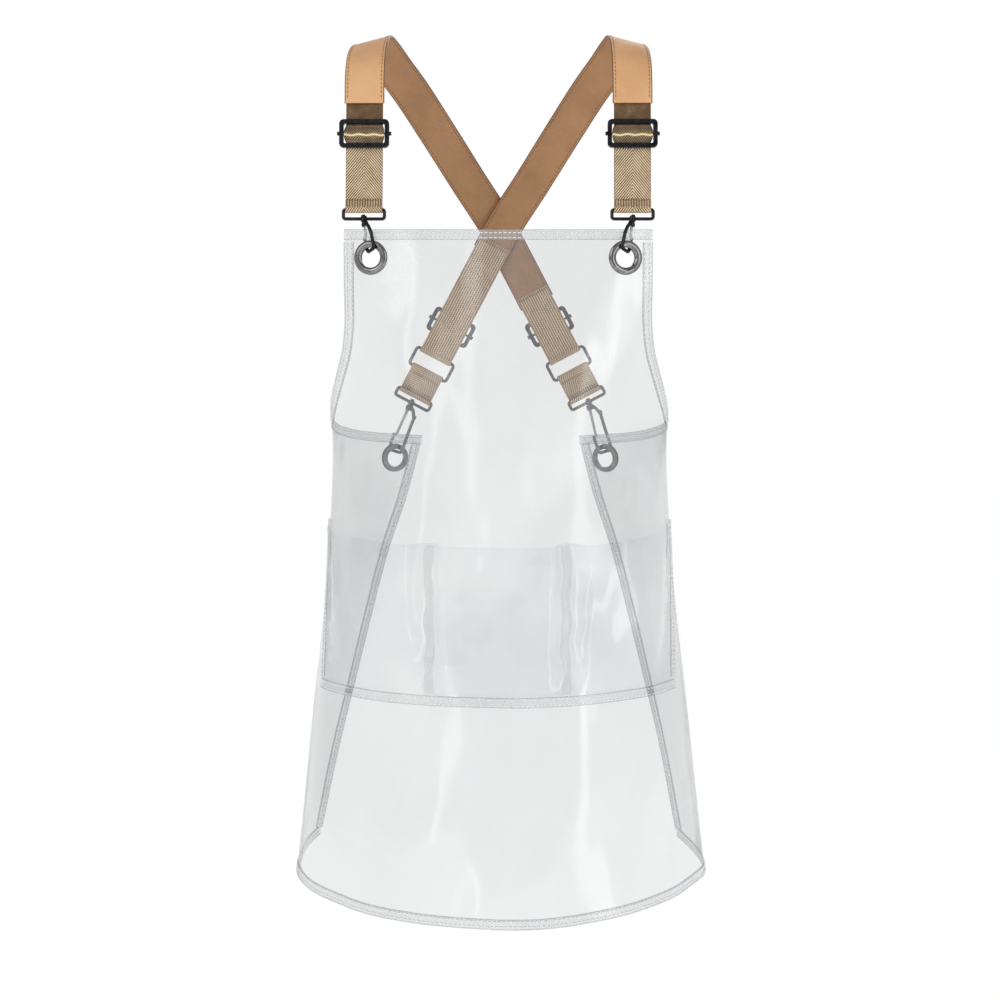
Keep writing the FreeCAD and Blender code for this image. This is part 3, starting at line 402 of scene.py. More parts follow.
def make_leather(name, light, dark, grain_scale, rough, coat):
    """Leather: cloudy colour, fine pebbled grain and faint creases."""
    item, tree, place = new_material(name)
    cloud = noise(tree, place, 22.0, 5.0, 0.6)
    cells = put(tree, "TexVoronoi", {"feature": "F1"}, Vector=place,
                Scale=grain_scale).outputs["Distance"]
    fibre = noise(tree, place, grain_scale * 1.7, 4.0, 0.65)
    mixed = scaled(tree, cells, 0.28, cloud)
    colour = ramp(tree, mixed, (0.30, srgb(*dark)), (0.74, srgb(*light)))
    height = put(tree, "Math", {"operation": "ADD"}, i0=cells, i1=fibre).outputs[0]
    bumped = bump(tree, height, 0.22, 0.0004)
    skin = put(tree, "BsdfPrincipled", Base_Color=colour, Normal=bumped, Coat_Weight=coat,
               Coat_Roughness=0.35,
               Roughness=spread(tree, cloud, rough - 0.08, rough + 0.1)).outputs[0]
    finish_material(tree, skin)
    return item


def make_web(name, valley, ridge, rough=(0.82, 0.5)):
    """Woven webbing: a tone stored on the mesh picks yarn colour, painted shade and painted
    highlight, with fuzz between yarns.
    """
    item, tree, place = new_material(name)
    tone_with_painted_light = put(tree, "Attribute", {"attribute_name": "tone_with_painted_light"}).outputs["Fac"]
    patch = noise(tree, place, 90.0, 4.0, 0.6)
    mixed = scaled(tree, patch, 0.35, tone_with_painted_light)
    colour = ramp(tree, mixed, (0.22, srgb(*valley)), (0.95, srgb(*ridge)))
    fuzz = noise(tree, place, 2600.0, 3.0, 0.7)
    bumped = bump(tree, fuzz, 0.4, 0.00025)
    cloth = put(tree, "BsdfPrincipled", Base_Color=colour, Normal=bumped, Sheen_Weight=0.35,
                Sheen_Roughness=0.4, Roughness=spread(tree, tone_with_painted_light, *rough)).outputs[0]
    finish_material(tree, cloth)
    return item


def make_metal(name, low, high, smooth_low, smooth_high):
    """Plated metal: faint cloudiness and fine handling marks in its polish."""
    item, tree, place = new_material(name)
    cloud = noise(tree, place, 120.0, 4.0, 0.6)
    marks = noise(tree, place, 1400.0, 3.0, 0.7)
    colour = ramp(tree, cloud, (0.32, low), (0.70, high))
    bumped = bump(tree, marks, 0.06, 0.0002)
    plate = put(tree, "BsdfPrincipled", Base_Color=colour, Metallic=1.0, Normal=bumped,
                Roughness=spread(tree, cloud, smooth_low, smooth_high)).outputs[0]
    finish_material(tree, plate)
    return item


def make_thread(name, low, high):
    """Sewing thread with a twisted sheen."""
    item, tree, place = new_material(name)
    twist = noise(tree, place, 1800.0, 3.0, 0.6)
    colour = ramp(tree, twist, (0.3, srgb(*low)), (0.7, srgb(*high)))
    bumped = bump(tree, twist, 0.3, 0.0002)
    yarn = put(tree, "BsdfPrincipled", Base_Color=colour, Normal=bumped,
               Roughness=spread(tree, twist, 0.4, 0.65)).outputs[0]
    finish_material(tree, yarn)
    return item


vinyl = make_vinyl("clear_vinyl", (0.928, 0.931, 0.931, 1), (0.90, 0.904, 0.904, 1),
                   haze=0.05, gloss=0.12)
pocket_vinyl = make_vinyl("pocket_vinyl", (0.985, 0.987, 0.986, 1), (0.942, 0.944, 0.95, 1),
                          haze=0.02, gloss=0.10, wobble=0.9)
tape = make_tape("edge_tape", 0.17, (228, 230, 230))
pocket_tape = make_tape("pocket_tape", 0.15, (236, 238, 238))
seam_tape = make_tape("seam_tape", 0.13, (214, 217, 217))
tape_thread = make_thread("tape_thread", (236, 238, 240), (250, 251, 252))
leather_outer = make_leather("leather_outer", (228, 178, 128), (205, 150, 102), 1500.0, 0.46, 0.12)
# Inner face of the leather: the same leather, darker as painted shade.
leather_inner_painted_shade = make_leather("leather_inner_painted_shade", (172, 129, 89), (146, 105, 69), 1100.0, 0.6, 0.0)
leather_edge = make_leather("leather_edge", (120, 78, 46), (84, 52, 30), 2200.0, 0.4, 0.2)
leather_thread = make_thread("leather_thread", (118, 76, 42), (158, 108, 64))
web_thread = make_thread("webbing_thread", (92, 68, 40), (128, 98, 62))
front_web = make_web("front_webbing", (96, 66, 34), (250, 228, 188))
rear_web = make_web("rear_webbing", (132, 108, 82), (236, 208, 174))
# Webbing over a slider's bar: the strap's webbing with darker colours as painted shade, its bright
# end for the painted highlight.
shaded_fold_web = make_web("fold_webbing", (52, 32, 16), (250, 222, 168), rough=(0.5, 0.3))
black_metal = make_metal("black_metal", (0.018, 0.018, 0.02, 1), (0.05, 0.048, 0.05, 1), 0.16,
                         0.3)
grey_metal = make_metal("grey_metal", (0.12, 0.12, 0.125, 1), (0.24, 0.24, 0.25, 1), 0.16,
                        0.28)
gate_metal = make_metal("gate_metal", (0.30, 0.30, 0.31, 1), (0.5, 0.5, 0.51, 1), 0.2, 0.32)
eyelet_metal = make_metal("eyelet_metal", (0.15, 0.15, 0.155, 1), (0.30, 0.30, 0.31, 1), 0.08,
                          0.18)
washer_metal = make_metal("washer_metal", (0.42, 0.42, 0.43, 1), (0.58, 0.58, 0.59, 1), 0.16,
                          0.28)

# Sheet -------------------------------------------------------------------------------

COLUMNS = 300
HEM_ZONE = -640.0
HEM_STEPS = 14
SHEET_THICK = 0.6
EYELET_CUT = 12.6
CUT_BAND = 3.6
CUT_PULL = 2.6


def sheet_rows():
    """Heights of the sheet's rows: close together where the armhole runs level."""
    rows = list(np.linspace(0, SIDE_DZ, 52))
    rows += list(np.linspace(SIDE_DZ - 1, FLAP_TOP, 26))
    rows += list(np.linspace(-230, HEM_ZONE, 110))
    return rows


def eyelet_spots():
    """Centre of each eyelet from its CAD node, in millimetres."""
    boxes = [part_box("eyelet_" + name)
             for name in ("front_left", "front_right", "rear_left", "rear_right")]
    return [np.array((low + high) / 2) / MM for low, high in boxes]


def make_panel():
    """The sheet as one clear skin with its eyelet holes, given its thickness at the end."""
    verts = []
    rows = sheet_rows()
    share = np.linspace(-1, 1, COLUMNS + 1)
    for dz in rows:
        limit = edge_angle(dz)
        verts += [shell_point(s * limit, dz)[0] for s in share]
    corner = edge_angle(FLAP_FOOT)
    start = edge_angle(HEM_ZONE)
    for k in range(1, HEM_STEPS + 1):
        t = k / HEM_STEPS
        for s in share:
            low = s * corner
            dz = HEM_ZONE + (hem_height(low) - HEM_ZONE) * t
            verts.append(shell_point(s * (start + (corner - start) * t), dz)[0])
    width = COLUMNS + 1
    count = len(rows) + HEM_STEPS
    verts = np.array(verts)
    near = np.full(len(verts), False)
    for spot in eyelet_spots():
        near |= np.linalg.norm(verts - spot, axis=1) < EYELET_CUT
    faces = []
    for i in range(count - 1):
        for j in range(COLUMNS):
            a = i * width + j
            face = [a, a + 1, a + width + 1, a + width]
            if not any(near[n] for n in face):
                faces.append(face)
    used = sorted({n for face in faces for n in face})
    number = {n: k for k, n in enumerate(used)}
    verts = verts[used]
    faces = [[number[n] for n in face] for face in faces]
    for spot in eyelet_spots():
        gap = verts - spot
        distance = np.linalg.norm(gap, axis=1)
        ring = distance < EYELET_CUT + CUT_BAND
        pulled = np.maximum(EYELET_CUT, distance[ring] - CUT_PULL)
        verts[ring] = spot + gap[ring] / distance[ring][:, None] * pulled[:, None]
    return solid_skin("vinyl_sheet", verts, faces, SHEET_THICK, vinyl,
                      ["apron_panel"])


def solid_skin(name, verts, faces, thick, material, replaces):
    """Skin made into a closed sheet of a given thickness."""
    obj = add_mesh(name, verts, faces, [material], replaces=replaces)
    modifier = obj.modifiers.new("thickness", "SOLIDIFY")
    modifier.thickness = thick * MM
    modifier.offset = 0.0
    modifier.use_rim = True
    bpy.context.view_layer.update()
    evaluated = obj.evaluated_get(bpy.context.evaluated_depsgraph_get())
    mesh = bpy.data.meshes.new_from_object(evaluated)
    obj.modifiers.clear()
    old = obj.data
    obj.data = mesh
    bpy.data.meshes.remove(old)
    mesh.name = name
    mesh.set_sharp_from_angle(angle=math.radians(50.0))
    return obj


POCKET_SIDE_TOP = -300
POCKET_HEIGHT = 174
POCKET_ANGLE = 84.5
POCKET_TAPER = 15.5
POCKET_THICK = 0.55
POCKET_BASE = 0.5 + 0.3 + 0.4
SIDE_FLAT = 5.5
FLANK_START = 0.72
SIDE_FLANK_START = 0.34
FLANK_END = 0.96


def pocket_side(dz):
    """Angle at which the pocket sheet is sewn to the side of the apron."""
    return math.radians(POCKET_ANGLE - POCKET_TAPER * (POCKET_SIDE_TOP - dz) / POCKET_HEIGHT)


def seam_x(dz):
    """Sideways place of the inner pocket seams, which wander a little."""
    return POCKET_SEAM_X + 0.9 * math.sin(dz / 8.0) + 0.7 * math.sin(dz / 19.0 + 1.0)


def pocket_rise(angle, dz):
    """Stand-off of the pocket sheet: three bellows between puckered sewn lines."""
    height = np.interp(-dz, [-z for z, _ in POCKET_LEVELS], [h for _, h in POCKET_LEVELS])
    seam = angle_of(seam_x(dz), dz)
    side = pocket_side(dz) - math.radians(SIDE_FLAT)
    start = FLANK_START
    if abs(angle) < seam:
        u = abs(angle) / seam
    else:
        place = 2 * (abs(angle) - seam) / (side - seam) - 1
        u = abs(place)
        start = SIDE_FLANK_START if place > 0 else start
    flank = max(0.0, min(1.0, (u - start) / (FLANK_END - start)))
    rise = POCKET_BULGE * height * (1 - flank**2 * (3 - 2 * flank))
    belly = (1 - min(1.0, u) ** 2) * math.sqrt(max(0.0, height))
    crease = 0.55 * math.sin(31 * angle + dz / 21.0)
    crease += 0.45 * math.sin(17 * angle - dz / 13.0 + 2.0)
    pucker = 0.5 * math.sin(dz / 4.7) * math.exp(-((u - 0.86) / 0.09) ** 2)
    pucker *= min(1.0, height * 3)
    return max(0.0, rise + belly * crease * 0.9 + pucker)



def pocket_top(x):
    """Height of the pocket sheet's upper edge at a sideways distance."""
    return float(np.interp(abs(x), [p[0] for p in POCKET_TOP], [p[1] for p in POCKET_TOP]))


def make_pocket():
    """The pocket sheet, sewn down at its sides, its two inner seams and its bottom."""
    columns, count = 240, 84
    half_top, foot = 176.0, -473.6
    verts = []
    for i in range(count + 1):
        t = i / count
        for j in range(columns + 1):
            s = 2 * j / columns - 1
            high = pocket_top(s * half_top)
            dz = high + (foot - high) * t
            angle = s * pocket_side(dz)
            verts.append(shell_point(angle, dz, POCKET_BASE + pocket_rise(angle, dz))[0])
    width = columns + 1
    corners = [i * width + j for i in range(count) for j in range(columns)]
    faces = [[a, a + 1, a + width + 1, a + width] for a in corners]
    return solid_skin("pocket_vinyl_sheet", np.array(verts), faces, POCKET_THICK, pocket_vinyl,
                      ["pocket_sheet"])


# Tapes -------------------------------------------------------------------------------

def on_shell(point, out):
    """Nearest place on the sheet at the same height, moved outwards."""
    dz = point[2] + BIB_DROP
    a, b, mid = oval(dz)
    return shell_point(math.atan2(point[0] / a, (mid - point[1]) / b), dz, out)[0]


def walk(path, inward):
    """Points, directions along and across, for a path of (point, normal) on the sheet."""
    points = np.array([p for p, _ in path])
    normals = np.array([n for _, n in path])
    along = unit(np.gradient(points, axis=0))
    across = unit(np.cross(along, normals))
    for i, point in enumerate(points):
        if across[i].dot(inward(point)) < 0:
            across[i] = -across[i]
    return points, normals, along, across


def band_rings(path, inward, section):
    """Rings of a section of (reach, stand-off) points carried along a path."""
    points, _, along, across = walk(path, inward)
    rings = []
    for i, point in enumerate(points):
        quiver = 0.10 * math.sin(i * 1.7) + 0.06 * math.sin(i * 0.63)
        ring = []
        for reach, out in section:
            lift = quiver if abs(out) > 0.9 else 0.0
            spot = on_shell(point + across[i] * reach, out + math.copysign(lift, out))
            ring.append(spot - along[i] * (spot - point).dot(along[i]))
        rings.append(ring)
    return np.array(rings)


TAPE_HALF = 1.22
TAPE_ROWS = (2.4, BINDING_WIDTH - 2.1)
TAPE_FACES = (1.2, -1.2)


def dent(off, reach):
    """Share of a stitch row's dent at a distance off it."""
    return math.exp(-(off / reach) ** 2)


def folded_section():
    """Section of a tape folded over the sheet's edge and pressed in at its stitch rows."""
    width, half = BINDING_WIDTH, TAPE_HALF
    reach = np.linspace(0.2, width, 9)
    face = [half - 0.16 * dent(u - 2.4, 0.7) - 0.16 * dent(u - width + 2.1, 0.7)
            - 0.25 * max(0.0, (u - width + 0.8) / 0.8) for u in reach]
    upper = list(zip(reach, face))
    fold = [(-0.75 * math.sin(turn), half * math.cos(turn))
            for turn in map(math.radians, (25, 60, 90, 120, 155))]
    return list(reversed(upper)) + fold + [(u, -v) for u, v in upper]


def lying_section(width, low, high):
    """Section of a tape sewn flat on the sheet."""
    reach = np.linspace(0, width, 9)
    face = [high - 0.25 * max(0.0, 1 - u / 0.9) - 0.25 * max(0.0, (u - width + 0.9) / 0.9)
            - 0.14 * dent(u - 2.0, 0.6) - 0.14 * dent(u - width + 2.0, 0.6) for u in reach]
    return list(zip(reach, face)) + [(u, low) for u in reversed(reach)]


def sew_tape(name, path, inward, section, material, rows, faces_out, node):
    """A tape along a path with its stitch rows, standing for a CAD binding."""
    rings = band_rings(path, inward, section)
    count, points = rings.shape[:2]
    verts = rings.reshape(-1, 3)
    widest = max(reach for reach, _ in section)
    # Mask of the painted shade: one along the tape's two edges.
    rim = [1.0 if reach < 0.1 or reach > widest - 0.1 else 0.0 for reach, _ in section] * count
    obj = add_mesh(name, verts, outward(verts, loft_faces(count, points)), [material],
                   replaces=[node], tone_with_painted_light=rim)
    spots, normals, _, across = walk(path, inward)
    thread = Thread()
    for reach in rows:
        for out in faces_out:
            line = [on_shell(p + a * reach, out) for p, a in zip(spots, across)]
            thread.row(line, normals * (1 if out > 0 else -1), 4.7, 3.4, 0.42, 0.1,
                       slant=0.22 if reach < 5 else -0.22)
    stitches = thread.done(name + "_stitches", tape_thread)
    return [obj, stitches]


def fine(points, step):
    """Denser run through outline points."""
    return [(p[0], p[1]) for p in curve_through([(x, z, 0.0) for x, z in points], step)]


def trim(path, first, last):
    """Path of (point, normal) shortened by a length at each end."""
    points = np.array([p for p, _ in path])
    reach = np.concatenate([[0.0], np.cumsum(np.linalg.norm(np.diff(points, axis=0), axis=1))])
    return [item for item, at in zip(path, reach) if first <= at <= reach[-1] - last]


def smoothed(path):
    """Path of (point, normal) on the sheet, run again through its points."""
    points = curve_through([p for p, _ in path], 3.0)
    return [(p, shell_normal(p)) for p in points]


def make_tapes():
    """Tapes over every edge of the sheet."""
    pieces = []

    def sew_edge(name, path, inward, node):
        pieces.extend(sew_tape(name, path, inward, folded_section(), tape, TAPE_ROWS,
                               TAPE_FACES, node))

    half_top = ARMHOLE_FRONT[0][0]
    top = [shell_point(angle_of(x, 0), 0) for x in np.linspace(-half_top, half_top, 100)]
    sew_edge("top_tape", top, lambda p: np.array((0, 0, -1)), "bib_top_binding")
    for side, word in ((-1, "left"), (1, "right")):
        arm = [shell_point(angle_of(side * x, z), z) for x, z in fine(ARMHOLE_FRONT, 3.0)]
        arm = [item for item in arm if item[0][2] > SIDE_DZ - BIB_DROP + 4.0]
        arm.append(shell_point(side * math.pi / 2, SIDE_DZ))
        behind = [shell_point(angle_of(side * x, z, True), z) for x, z in fine(ARMHOLE_BACK, 3.0)]
        arm = trim(smoothed(arm + behind[2:]), BINDING_WIDTH - 0.3, 0.0)

        def towards_sheet(p, s=side):
            if p[2] > -150 - BIB_DROP:
                return np.array((-s, 0, 0))
            return np.array((-s * 0.3, 0, -1)) if p[1] < -42 else np.array((0, 0, -1))

        sew_edge(f"armhole_tape_{word}", arm, towards_sheet, f"armhole_binding_{word}")
        flap = [shell_point(angle_of(side * x, z, True), z) for x, z in fine(FLAP_EDGE, 3.0)]
        flap = trim(flap, BINDING_WIDTH - 1.0, 3.5)
        sew_edge(f"flap_tape_{word}", flap, lambda p, s=side: np.array((s, 0, -0.3)),
                 f"flap_binding_{word}")
    corner = edge_angle(FLAP_FOOT) - 0.004
    hem = [shell_point(a, hem_height(a)) for a in np.linspace(-corner, corner, 340)]
    sew_edge("hem_tape", smoothed(hem), lambda p: np.array((0, 0, 1)), "hem_binding")
    return pieces


def shell_normal(point):
    """Level direction square to the sheet at a point on it."""
    a, b, mid = oval(point[2] + BIB_DROP)
    return unit(np.array((point[0] / a**2, (point[1] - mid) / b**2, 0.0)))


def make_pocket_tapes():
    """Tapes down the pocket's sides and along its bottom, and the two inner seams."""
    pieces = []
    low, high = 1.65, 2.75
    side_width, bottom_width = 8.0, 9.8
    foot = POCKET_SIDE_TOP - POCKET_HEIGHT
    for side, word in ((-1, "left"), (1, "right")):
        path = [shell_point(side * pocket_side(dz), dz) for dz in np.linspace(-302, -463.5, 56)]
        pieces += sew_tape(f"pocket_side_tape_{word}", path,
                           lambda p, s=side: np.array((-s, 0, 0)),
                           lying_section(side_width, low, high), pocket_tape,
                           (2.0, side_width - 2.0), (high,), f"pocket_side_binding_{word}")
    reach = pocket_side(foot)
    path = [shell_point(a, foot) for a in np.linspace(-reach, reach, 150)]
    pieces += sew_tape("pocket_bottom_tape", path, lambda p: np.array((0, 0, 1)),
                       lying_section(bottom_width, low, high), pocket_tape, (2.0, 7.8),
                       (high,), "pocket_bottom_binding")
    profile = ((-4.6, 0.0), (-4.2, 0.35), (-3.2, 0.62), (0, 0.45), (3.2, 0.62), (4.2, 0.35),
               (4.6, 0.0))
    for side, word in ((-1, "left"), (1, "right")):
        rings = []
        for dz in np.linspace(-313, -462, 90):
            wander = 0.6 * math.sin(dz / 5.3) + 0.4 * math.sin(dz / 11.0)
            centre = seam_x(dz)
            ring = []
            for u, v in profile:
                x = side * (centre + u + (wander if u > 0 else -wander * 0.6))
                angle = angle_of(x, dz)
                out = POCKET_BASE + 0.35 + pocket_rise(angle, dz) + v
                ring.append(shell_point(angle, dz, out)[0])
            rings.append(ring)
        rings = np.array(rings)
        verts = rings.reshape(-1, 3)
        faces = outward(verts, loft_faces(rings.shape[0], rings.shape[1]))
        pieces.append(add_mesh(f"pocket_seam_{word}", verts, faces, [seam_tape]))
    return pieces


# Straps ------------------------------------------------------------------------------

RUN_FRONT = [(-134.4, -76.15, 125.8, 0.0), (-134.4, -74.6, 133.7, 0.0),
             (-134.4, -73.0, 141.8, 0.3)]
RUN_TOP = [(-134.3, -70.0, 152.5, 1.8), (-133.9, -63.0, 167.0, 5.0), (-132.7, -41.0, 184.5, 10.5),
           (-130.0, -8.0, 192.6, 16.0), (-123.5, 24.0, 185.5, 21.5), (-112.5, 47.0, 169.5, 27.0)]
RUN_BACK = [(-97.0, 63.0, 148.5, 31.0), (-71.8, 80.0, 110.0, 32.3), (-36.0, 96.5, 53.5, 31.0)]
CROSSING = (0.0, 105.5, -3.0, 29.5)
CROSS_GAP = 3.4
LEATHER_LONG = (25.0, 50.0, 72.0, 80.0, 88.5)
LEATHER_SHORT = (10.0, 18.0, 26.0)
STRAP_THICK = 3.0
STITCH_LINE = 16.9
WEB_WIDTH = 37.0
WEB_THICK = 1.6
WEB_TUCK = 12.0
WIRE_GAP = 0.3
FOLD_WIDTH = 40.6
FOLD_THICK = 1.15
FOLD_WAVE = 0.12
WEAVE_DEPTH = 0.16
BACK_OFFSET = STRAP_THICK / 2 + 0.25
LOOP_WIRE = 1.7
RING_WIRE = 1.75
RING_HEIGHT = 24.3
RING_REACH = RING_HEIGHT - 2 * RING_WIRE
SLIDER_FRONT = 76.3
SLIDER_REAR = 119.0
RING_REAR = 165.6
TAB_SPAN = 28.4
FRONT_RUN = 107.5
SLIDER_THICK = 4.4
SLIDER_BAR = 1.3


def depth_shift(side):
    """How far a strap lies behind the middle of the crossing; the left one is behind."""
    return CROSS_GAP if side > 0 else -CROSS_GAP


def rear_line(side):
    """Downward direction of a strap's straight lower run, before mirroring."""
    return unit(unit(np.array((0.460, -0.180, -0.870))) - (0, depth_shift(side) / 200.0, 0))


def crossing(side):
    """Where a strap passes the middle of the back."""
    return np.array((CROSSING[0], CROSSING[1] + depth_shift(side), CROSSING[2] - BIB_DROP))


def strap_stations(side):
    """Stations (x, y, z, roll) of one leather strap."""
    stations = [(x, y, z - BIB_DROP, roll) for x, y, z, roll in RUN_FRONT + RUN_TOP]
    for (x, y, z, roll), share in zip(RUN_BACK, (0.3, 0.7, 1.0)):
        stations.append((x, y + depth_shift(side) * share, z - BIB_DROP, roll))
    cross = crossing(side)
    stations.append((*cross, CROSSING[3]))
    for s in LEATHER_LONG if side > 0 else LEATHER_SHORT:
        stations.append((*(cross + rear_line(side) * s), 27.9))
    return stations


def strap_section():
    """Section of the leather: crowned faces, painted round edges, dips under the stitches."""
    half = STRAP_THICK / 2
    across = np.concatenate([np.linspace(-18.9, -15.0, 7), np.linspace(-12.0, 12.0, 7),
                             np.linspace(15.0, 18.9, 7)])
    face = [half - 0.20 * (abs(u) / 18.9) ** 4 - 0.16 * dent(abs(u) - STITCH_LINE, 0.55)
            for u in across]
    turn = [(18.9 + 1.1 * math.sin(math.radians(k)), (half - 0.2) * math.cos(math.radians(k)))
            for k in (30, 60, 90, 120, 150)]
    outer = list(zip(across, face))
    inner = [(u, -v) for u, v in reversed(outer)]
    other = [(-u, -v) for u, v in turn]
    ring = outer + turn + inner + other
    kinds = ([0] * (len(outer) - 1) + [2] * (len(turn) + 1) + [1] * (len(inner) - 1)
             + [2] * (len(other) + 1))
    return ring, kinds


def make_leather_strap(side, word):
    """One leather strap with its edge stitching."""
    run = curve_through(strap_stations(side), 2.4)
    points = run[:, :3]
    roll = np.radians(run[:, 3])
    along = unit(np.gradient(points, axis=0))
    width = np.stack([np.cos(roll), np.zeros(len(roll)), np.sin(roll)], -1)
    width = unit(width - along * np.einsum("ij,ij->i", width, along)[:, None])
    out = unit(np.cross(width, along))
    flip = np.array((side, 1, 1))
    section, kinds = strap_section()
    rings = []
    for i in range(len(points)):
        end = min(i, len(points) - 1 - i)
        pinch = 1.0 if end > 1 else (0.80, 0.95)[end]
        rings.append([(points[i] + width[i] * u + out[i] * v * pinch) * flip for u, v in section])
    rings = np.array(rings)
    verts = rings.reshape(-1, 3)
    faces = loft_faces(len(points), len(section))
    index = kinds * (len(points) - 1) + [2, 2]
    add_mesh(f"leather_{word}", verts, outward(verts, faces),
             [leather_outer, leather_inner_painted_shade, leather_edge],
             replaces=[f"leather_strap_{word}"], material_index=index)
    thread = Thread()
    for u in (-STITCH_LINE, STITCH_LINE):
        for face in (1, -1):
            line = (points + width * u + out * face * (STRAP_THICK / 2 - 0.12)) * flip
            thread.row(line[2:-2], out[2:-2] * face * flip, 4.3, 3.0, 0.36, 0.16)
    for i, face in ((2, -1), (len(points) - 3, 1)):
        line = [(points[i] + width[i] * u + out[i] * face * (STRAP_THICK / 2 - 0.05)) * flip
                for u in np.linspace(-16, 16, 20)]
        thread.row(line, [out[i] * face * flip] * len(line), 4.0, 2.8, 0.34, 0.14)
    thread.done(f"leather_stitches_{word}", leather_thread)


class Frame:
    """Local axes at a place: X across the strap, Z up it."""

    def __init__(self, origin, x_dir, z_dir):
        self.origin = np.array(origin, float)
        self.z = unit(np.array(z_dir, float))
        self.y = unit(np.cross(self.z, np.array(x_dir, float)))
        self.x = np.cross(self.y, self.z)

    def point(self, x, y, z):
        """World point of a local one."""
        return self.origin + self.x * x + self.y * y + self.z * z

    def moved(self, x, y, z):
        """Same axes at a local point."""
        return Frame(self.point(x, y, z), self.x, self.z)


def front_frame(side):
    """Frame at the front strap's lower loop bar."""
    return Frame((-134.4 * side, -97.5, 20.6 - BIB_DROP), (1, 0, 0), (0.0, 0.1985, 0.9801))


def rear_frame(side, along):
    """Frame on a strap's lower run behind."""
    flip = np.array((side, 1, 1))
    point = (crossing(side) + rear_line(side) * along) * flip
    width = np.array((0.884, 0, 0.468)) * flip
    return Frame(point, width if side > 0 else -width, -rear_line(side) * flip)


def herringbone(u, v):
    """Relief of a steep twill that changes direction at the middle."""
    turned = 1.25 * np.abs(u)
    ridge = 0.5 + 0.5 * np.cos(2 * math.pi * (v - turned) / 3.2)
    return ridge**1.2 * (0.74 + 0.26 * np.cos(2 * math.pi * (v + turned) / 2.1))


def ribbed(u, v):
    """Relief of the webbing's inner face: ribs along it with crossing picks."""
    rib = 0.5 + 0.5 * np.cos(2 * math.pi * u / 2.6)
    pick = 0.5 + 0.5 * np.cos(2 * math.pi * v / 2.4 + math.pi * np.floor(u / 2.6 + 0.5))
    return 0.45 * rib + 0.55 * pick * rib


def make_ribbon(name, place, line, thick, outer_sign, material, body, node, wavy=0.0,
                width=WEB_WIDTH, painted_shade_top=0.0, painted_shade_end=0.0, painted_highlight=0.0, tapered=0.0):
    """Woven strip along a side-view line of (y, z) points, its outer face on the given side.

    A first stretch of given length gets painted shade, on the two-layer webbing between the
    leather's end and the slider, and a last one painted shade, at the end turned up at a seam;
    a painted highlight is a bright band along a fold, whose other tone is then darkened as
    painted shade.  The ends are narrower by the tapered share.
    """
    run = curve_through([(y, z, 0.0) for y, z in line], 0.5)[:, :2]
    tangent = unit(np.gradient(run, axis=0))
    normal = np.stack([-tangent[:, 1], tangent[:, 0]], -1)
    reach = np.concatenate([[0.0], np.cumsum(np.linalg.norm(np.diff(run, axis=0), axis=1))])
    across = np.linspace(-width / 2, width / 2, 79)
    edge = np.clip((width / 2 - np.abs(across)) / 0.9, 0, 1)
    # Painted shade: the first stretch, two-layer webbing between the leather's end and the slider,
    # is darker.
    shaded = 1.0 - 0.80 * np.clip((painted_shade_top - reach) / 4.0, 0, 1)
    # Painted shade: the last stretch, the end turned up at the seam, is darker.
    shaded *= 1.0 - 0.42 * np.clip((reach - reach[-1] + painted_shade_end) / 1.0, 0, 1)
    # Painted highlight: a wavy bright band across the middle of a fold.
    crest = reach[:, None] - reach[-1] * 0.58 - 0.6 * np.sin(across * 0.42 + 0.6)[None, :]
    shine = painted_highlight * np.exp(-(crest / 0.75) ** 2)
    half = thick / 2 * (0.45 + 0.55 * np.sqrt(1 - (1 - edge) ** 2))
    grid_u, grid_v = np.meshgrid(across, reach)
    grid_u = grid_u * (1.0 - tapered * np.abs(2 * grid_v / reach[-1] - 1.0) ** 2.5)
    facing = math.copysign(1.0, normal[len(run) // 8, 0]) * outer_sign
    upper = herringbone(grid_u, grid_v) if facing > 0 else ribbed(grid_u, grid_v)
    lower = ribbed(grid_u, grid_v) if facing > 0 else herringbone(grid_u, grid_v)
    count = len(run)
    rings = np.zeros((count, 2 * len(across), 3))
    values = np.zeros((count, 2 * len(across)))
    sag = wavy * (np.sin(across * 0.42 + 0.6) + 0.6 * np.sin(across * 0.23 + 2.0))
    for k, (sign, pattern) in enumerate(((1, upper), (-1, lower))):
        height = sign * (half[None, :] - WEAVE_DEPTH * (1 - pattern) * edge[None, :])
        y = run[:, :1] + normal[:, :1] * height
        z = run[:, 1:] + normal[:, 1:] * height + sag[None, :]
        block = (place.origin + place.x * grid_u[..., None] + place.y * y[..., None]
                 + place.z * z[..., None])
        # Tone: the weave pattern with painted shade in its valleys and toward the strip's rounded
        # edges, times the painted shade above; a fold's tone is darkened as painted shade where a
        # painted highlight is added.
        shade = (pattern * (0.35 + 0.65 * edge[None, :]) * shaded[:, None]
                 * (1.0 - 0.6 * painted_highlight) + shine)
        if sign < 0:
            block, shade = block[:, ::-1], shade[:, ::-1]
        rings[:, k * len(across):(k + 1) * len(across)] = block
        values[:, k * len(across):(k + 1) * len(across)] = shade
    verts = rings.reshape(-1, 3)
    faces = outward(verts, loft_faces(count, 2 * len(across)))
    return add_mesh(name, verts, faces, [material], body, [node], sharp=70.0,
                    tone_with_painted_light=values.reshape(-1))


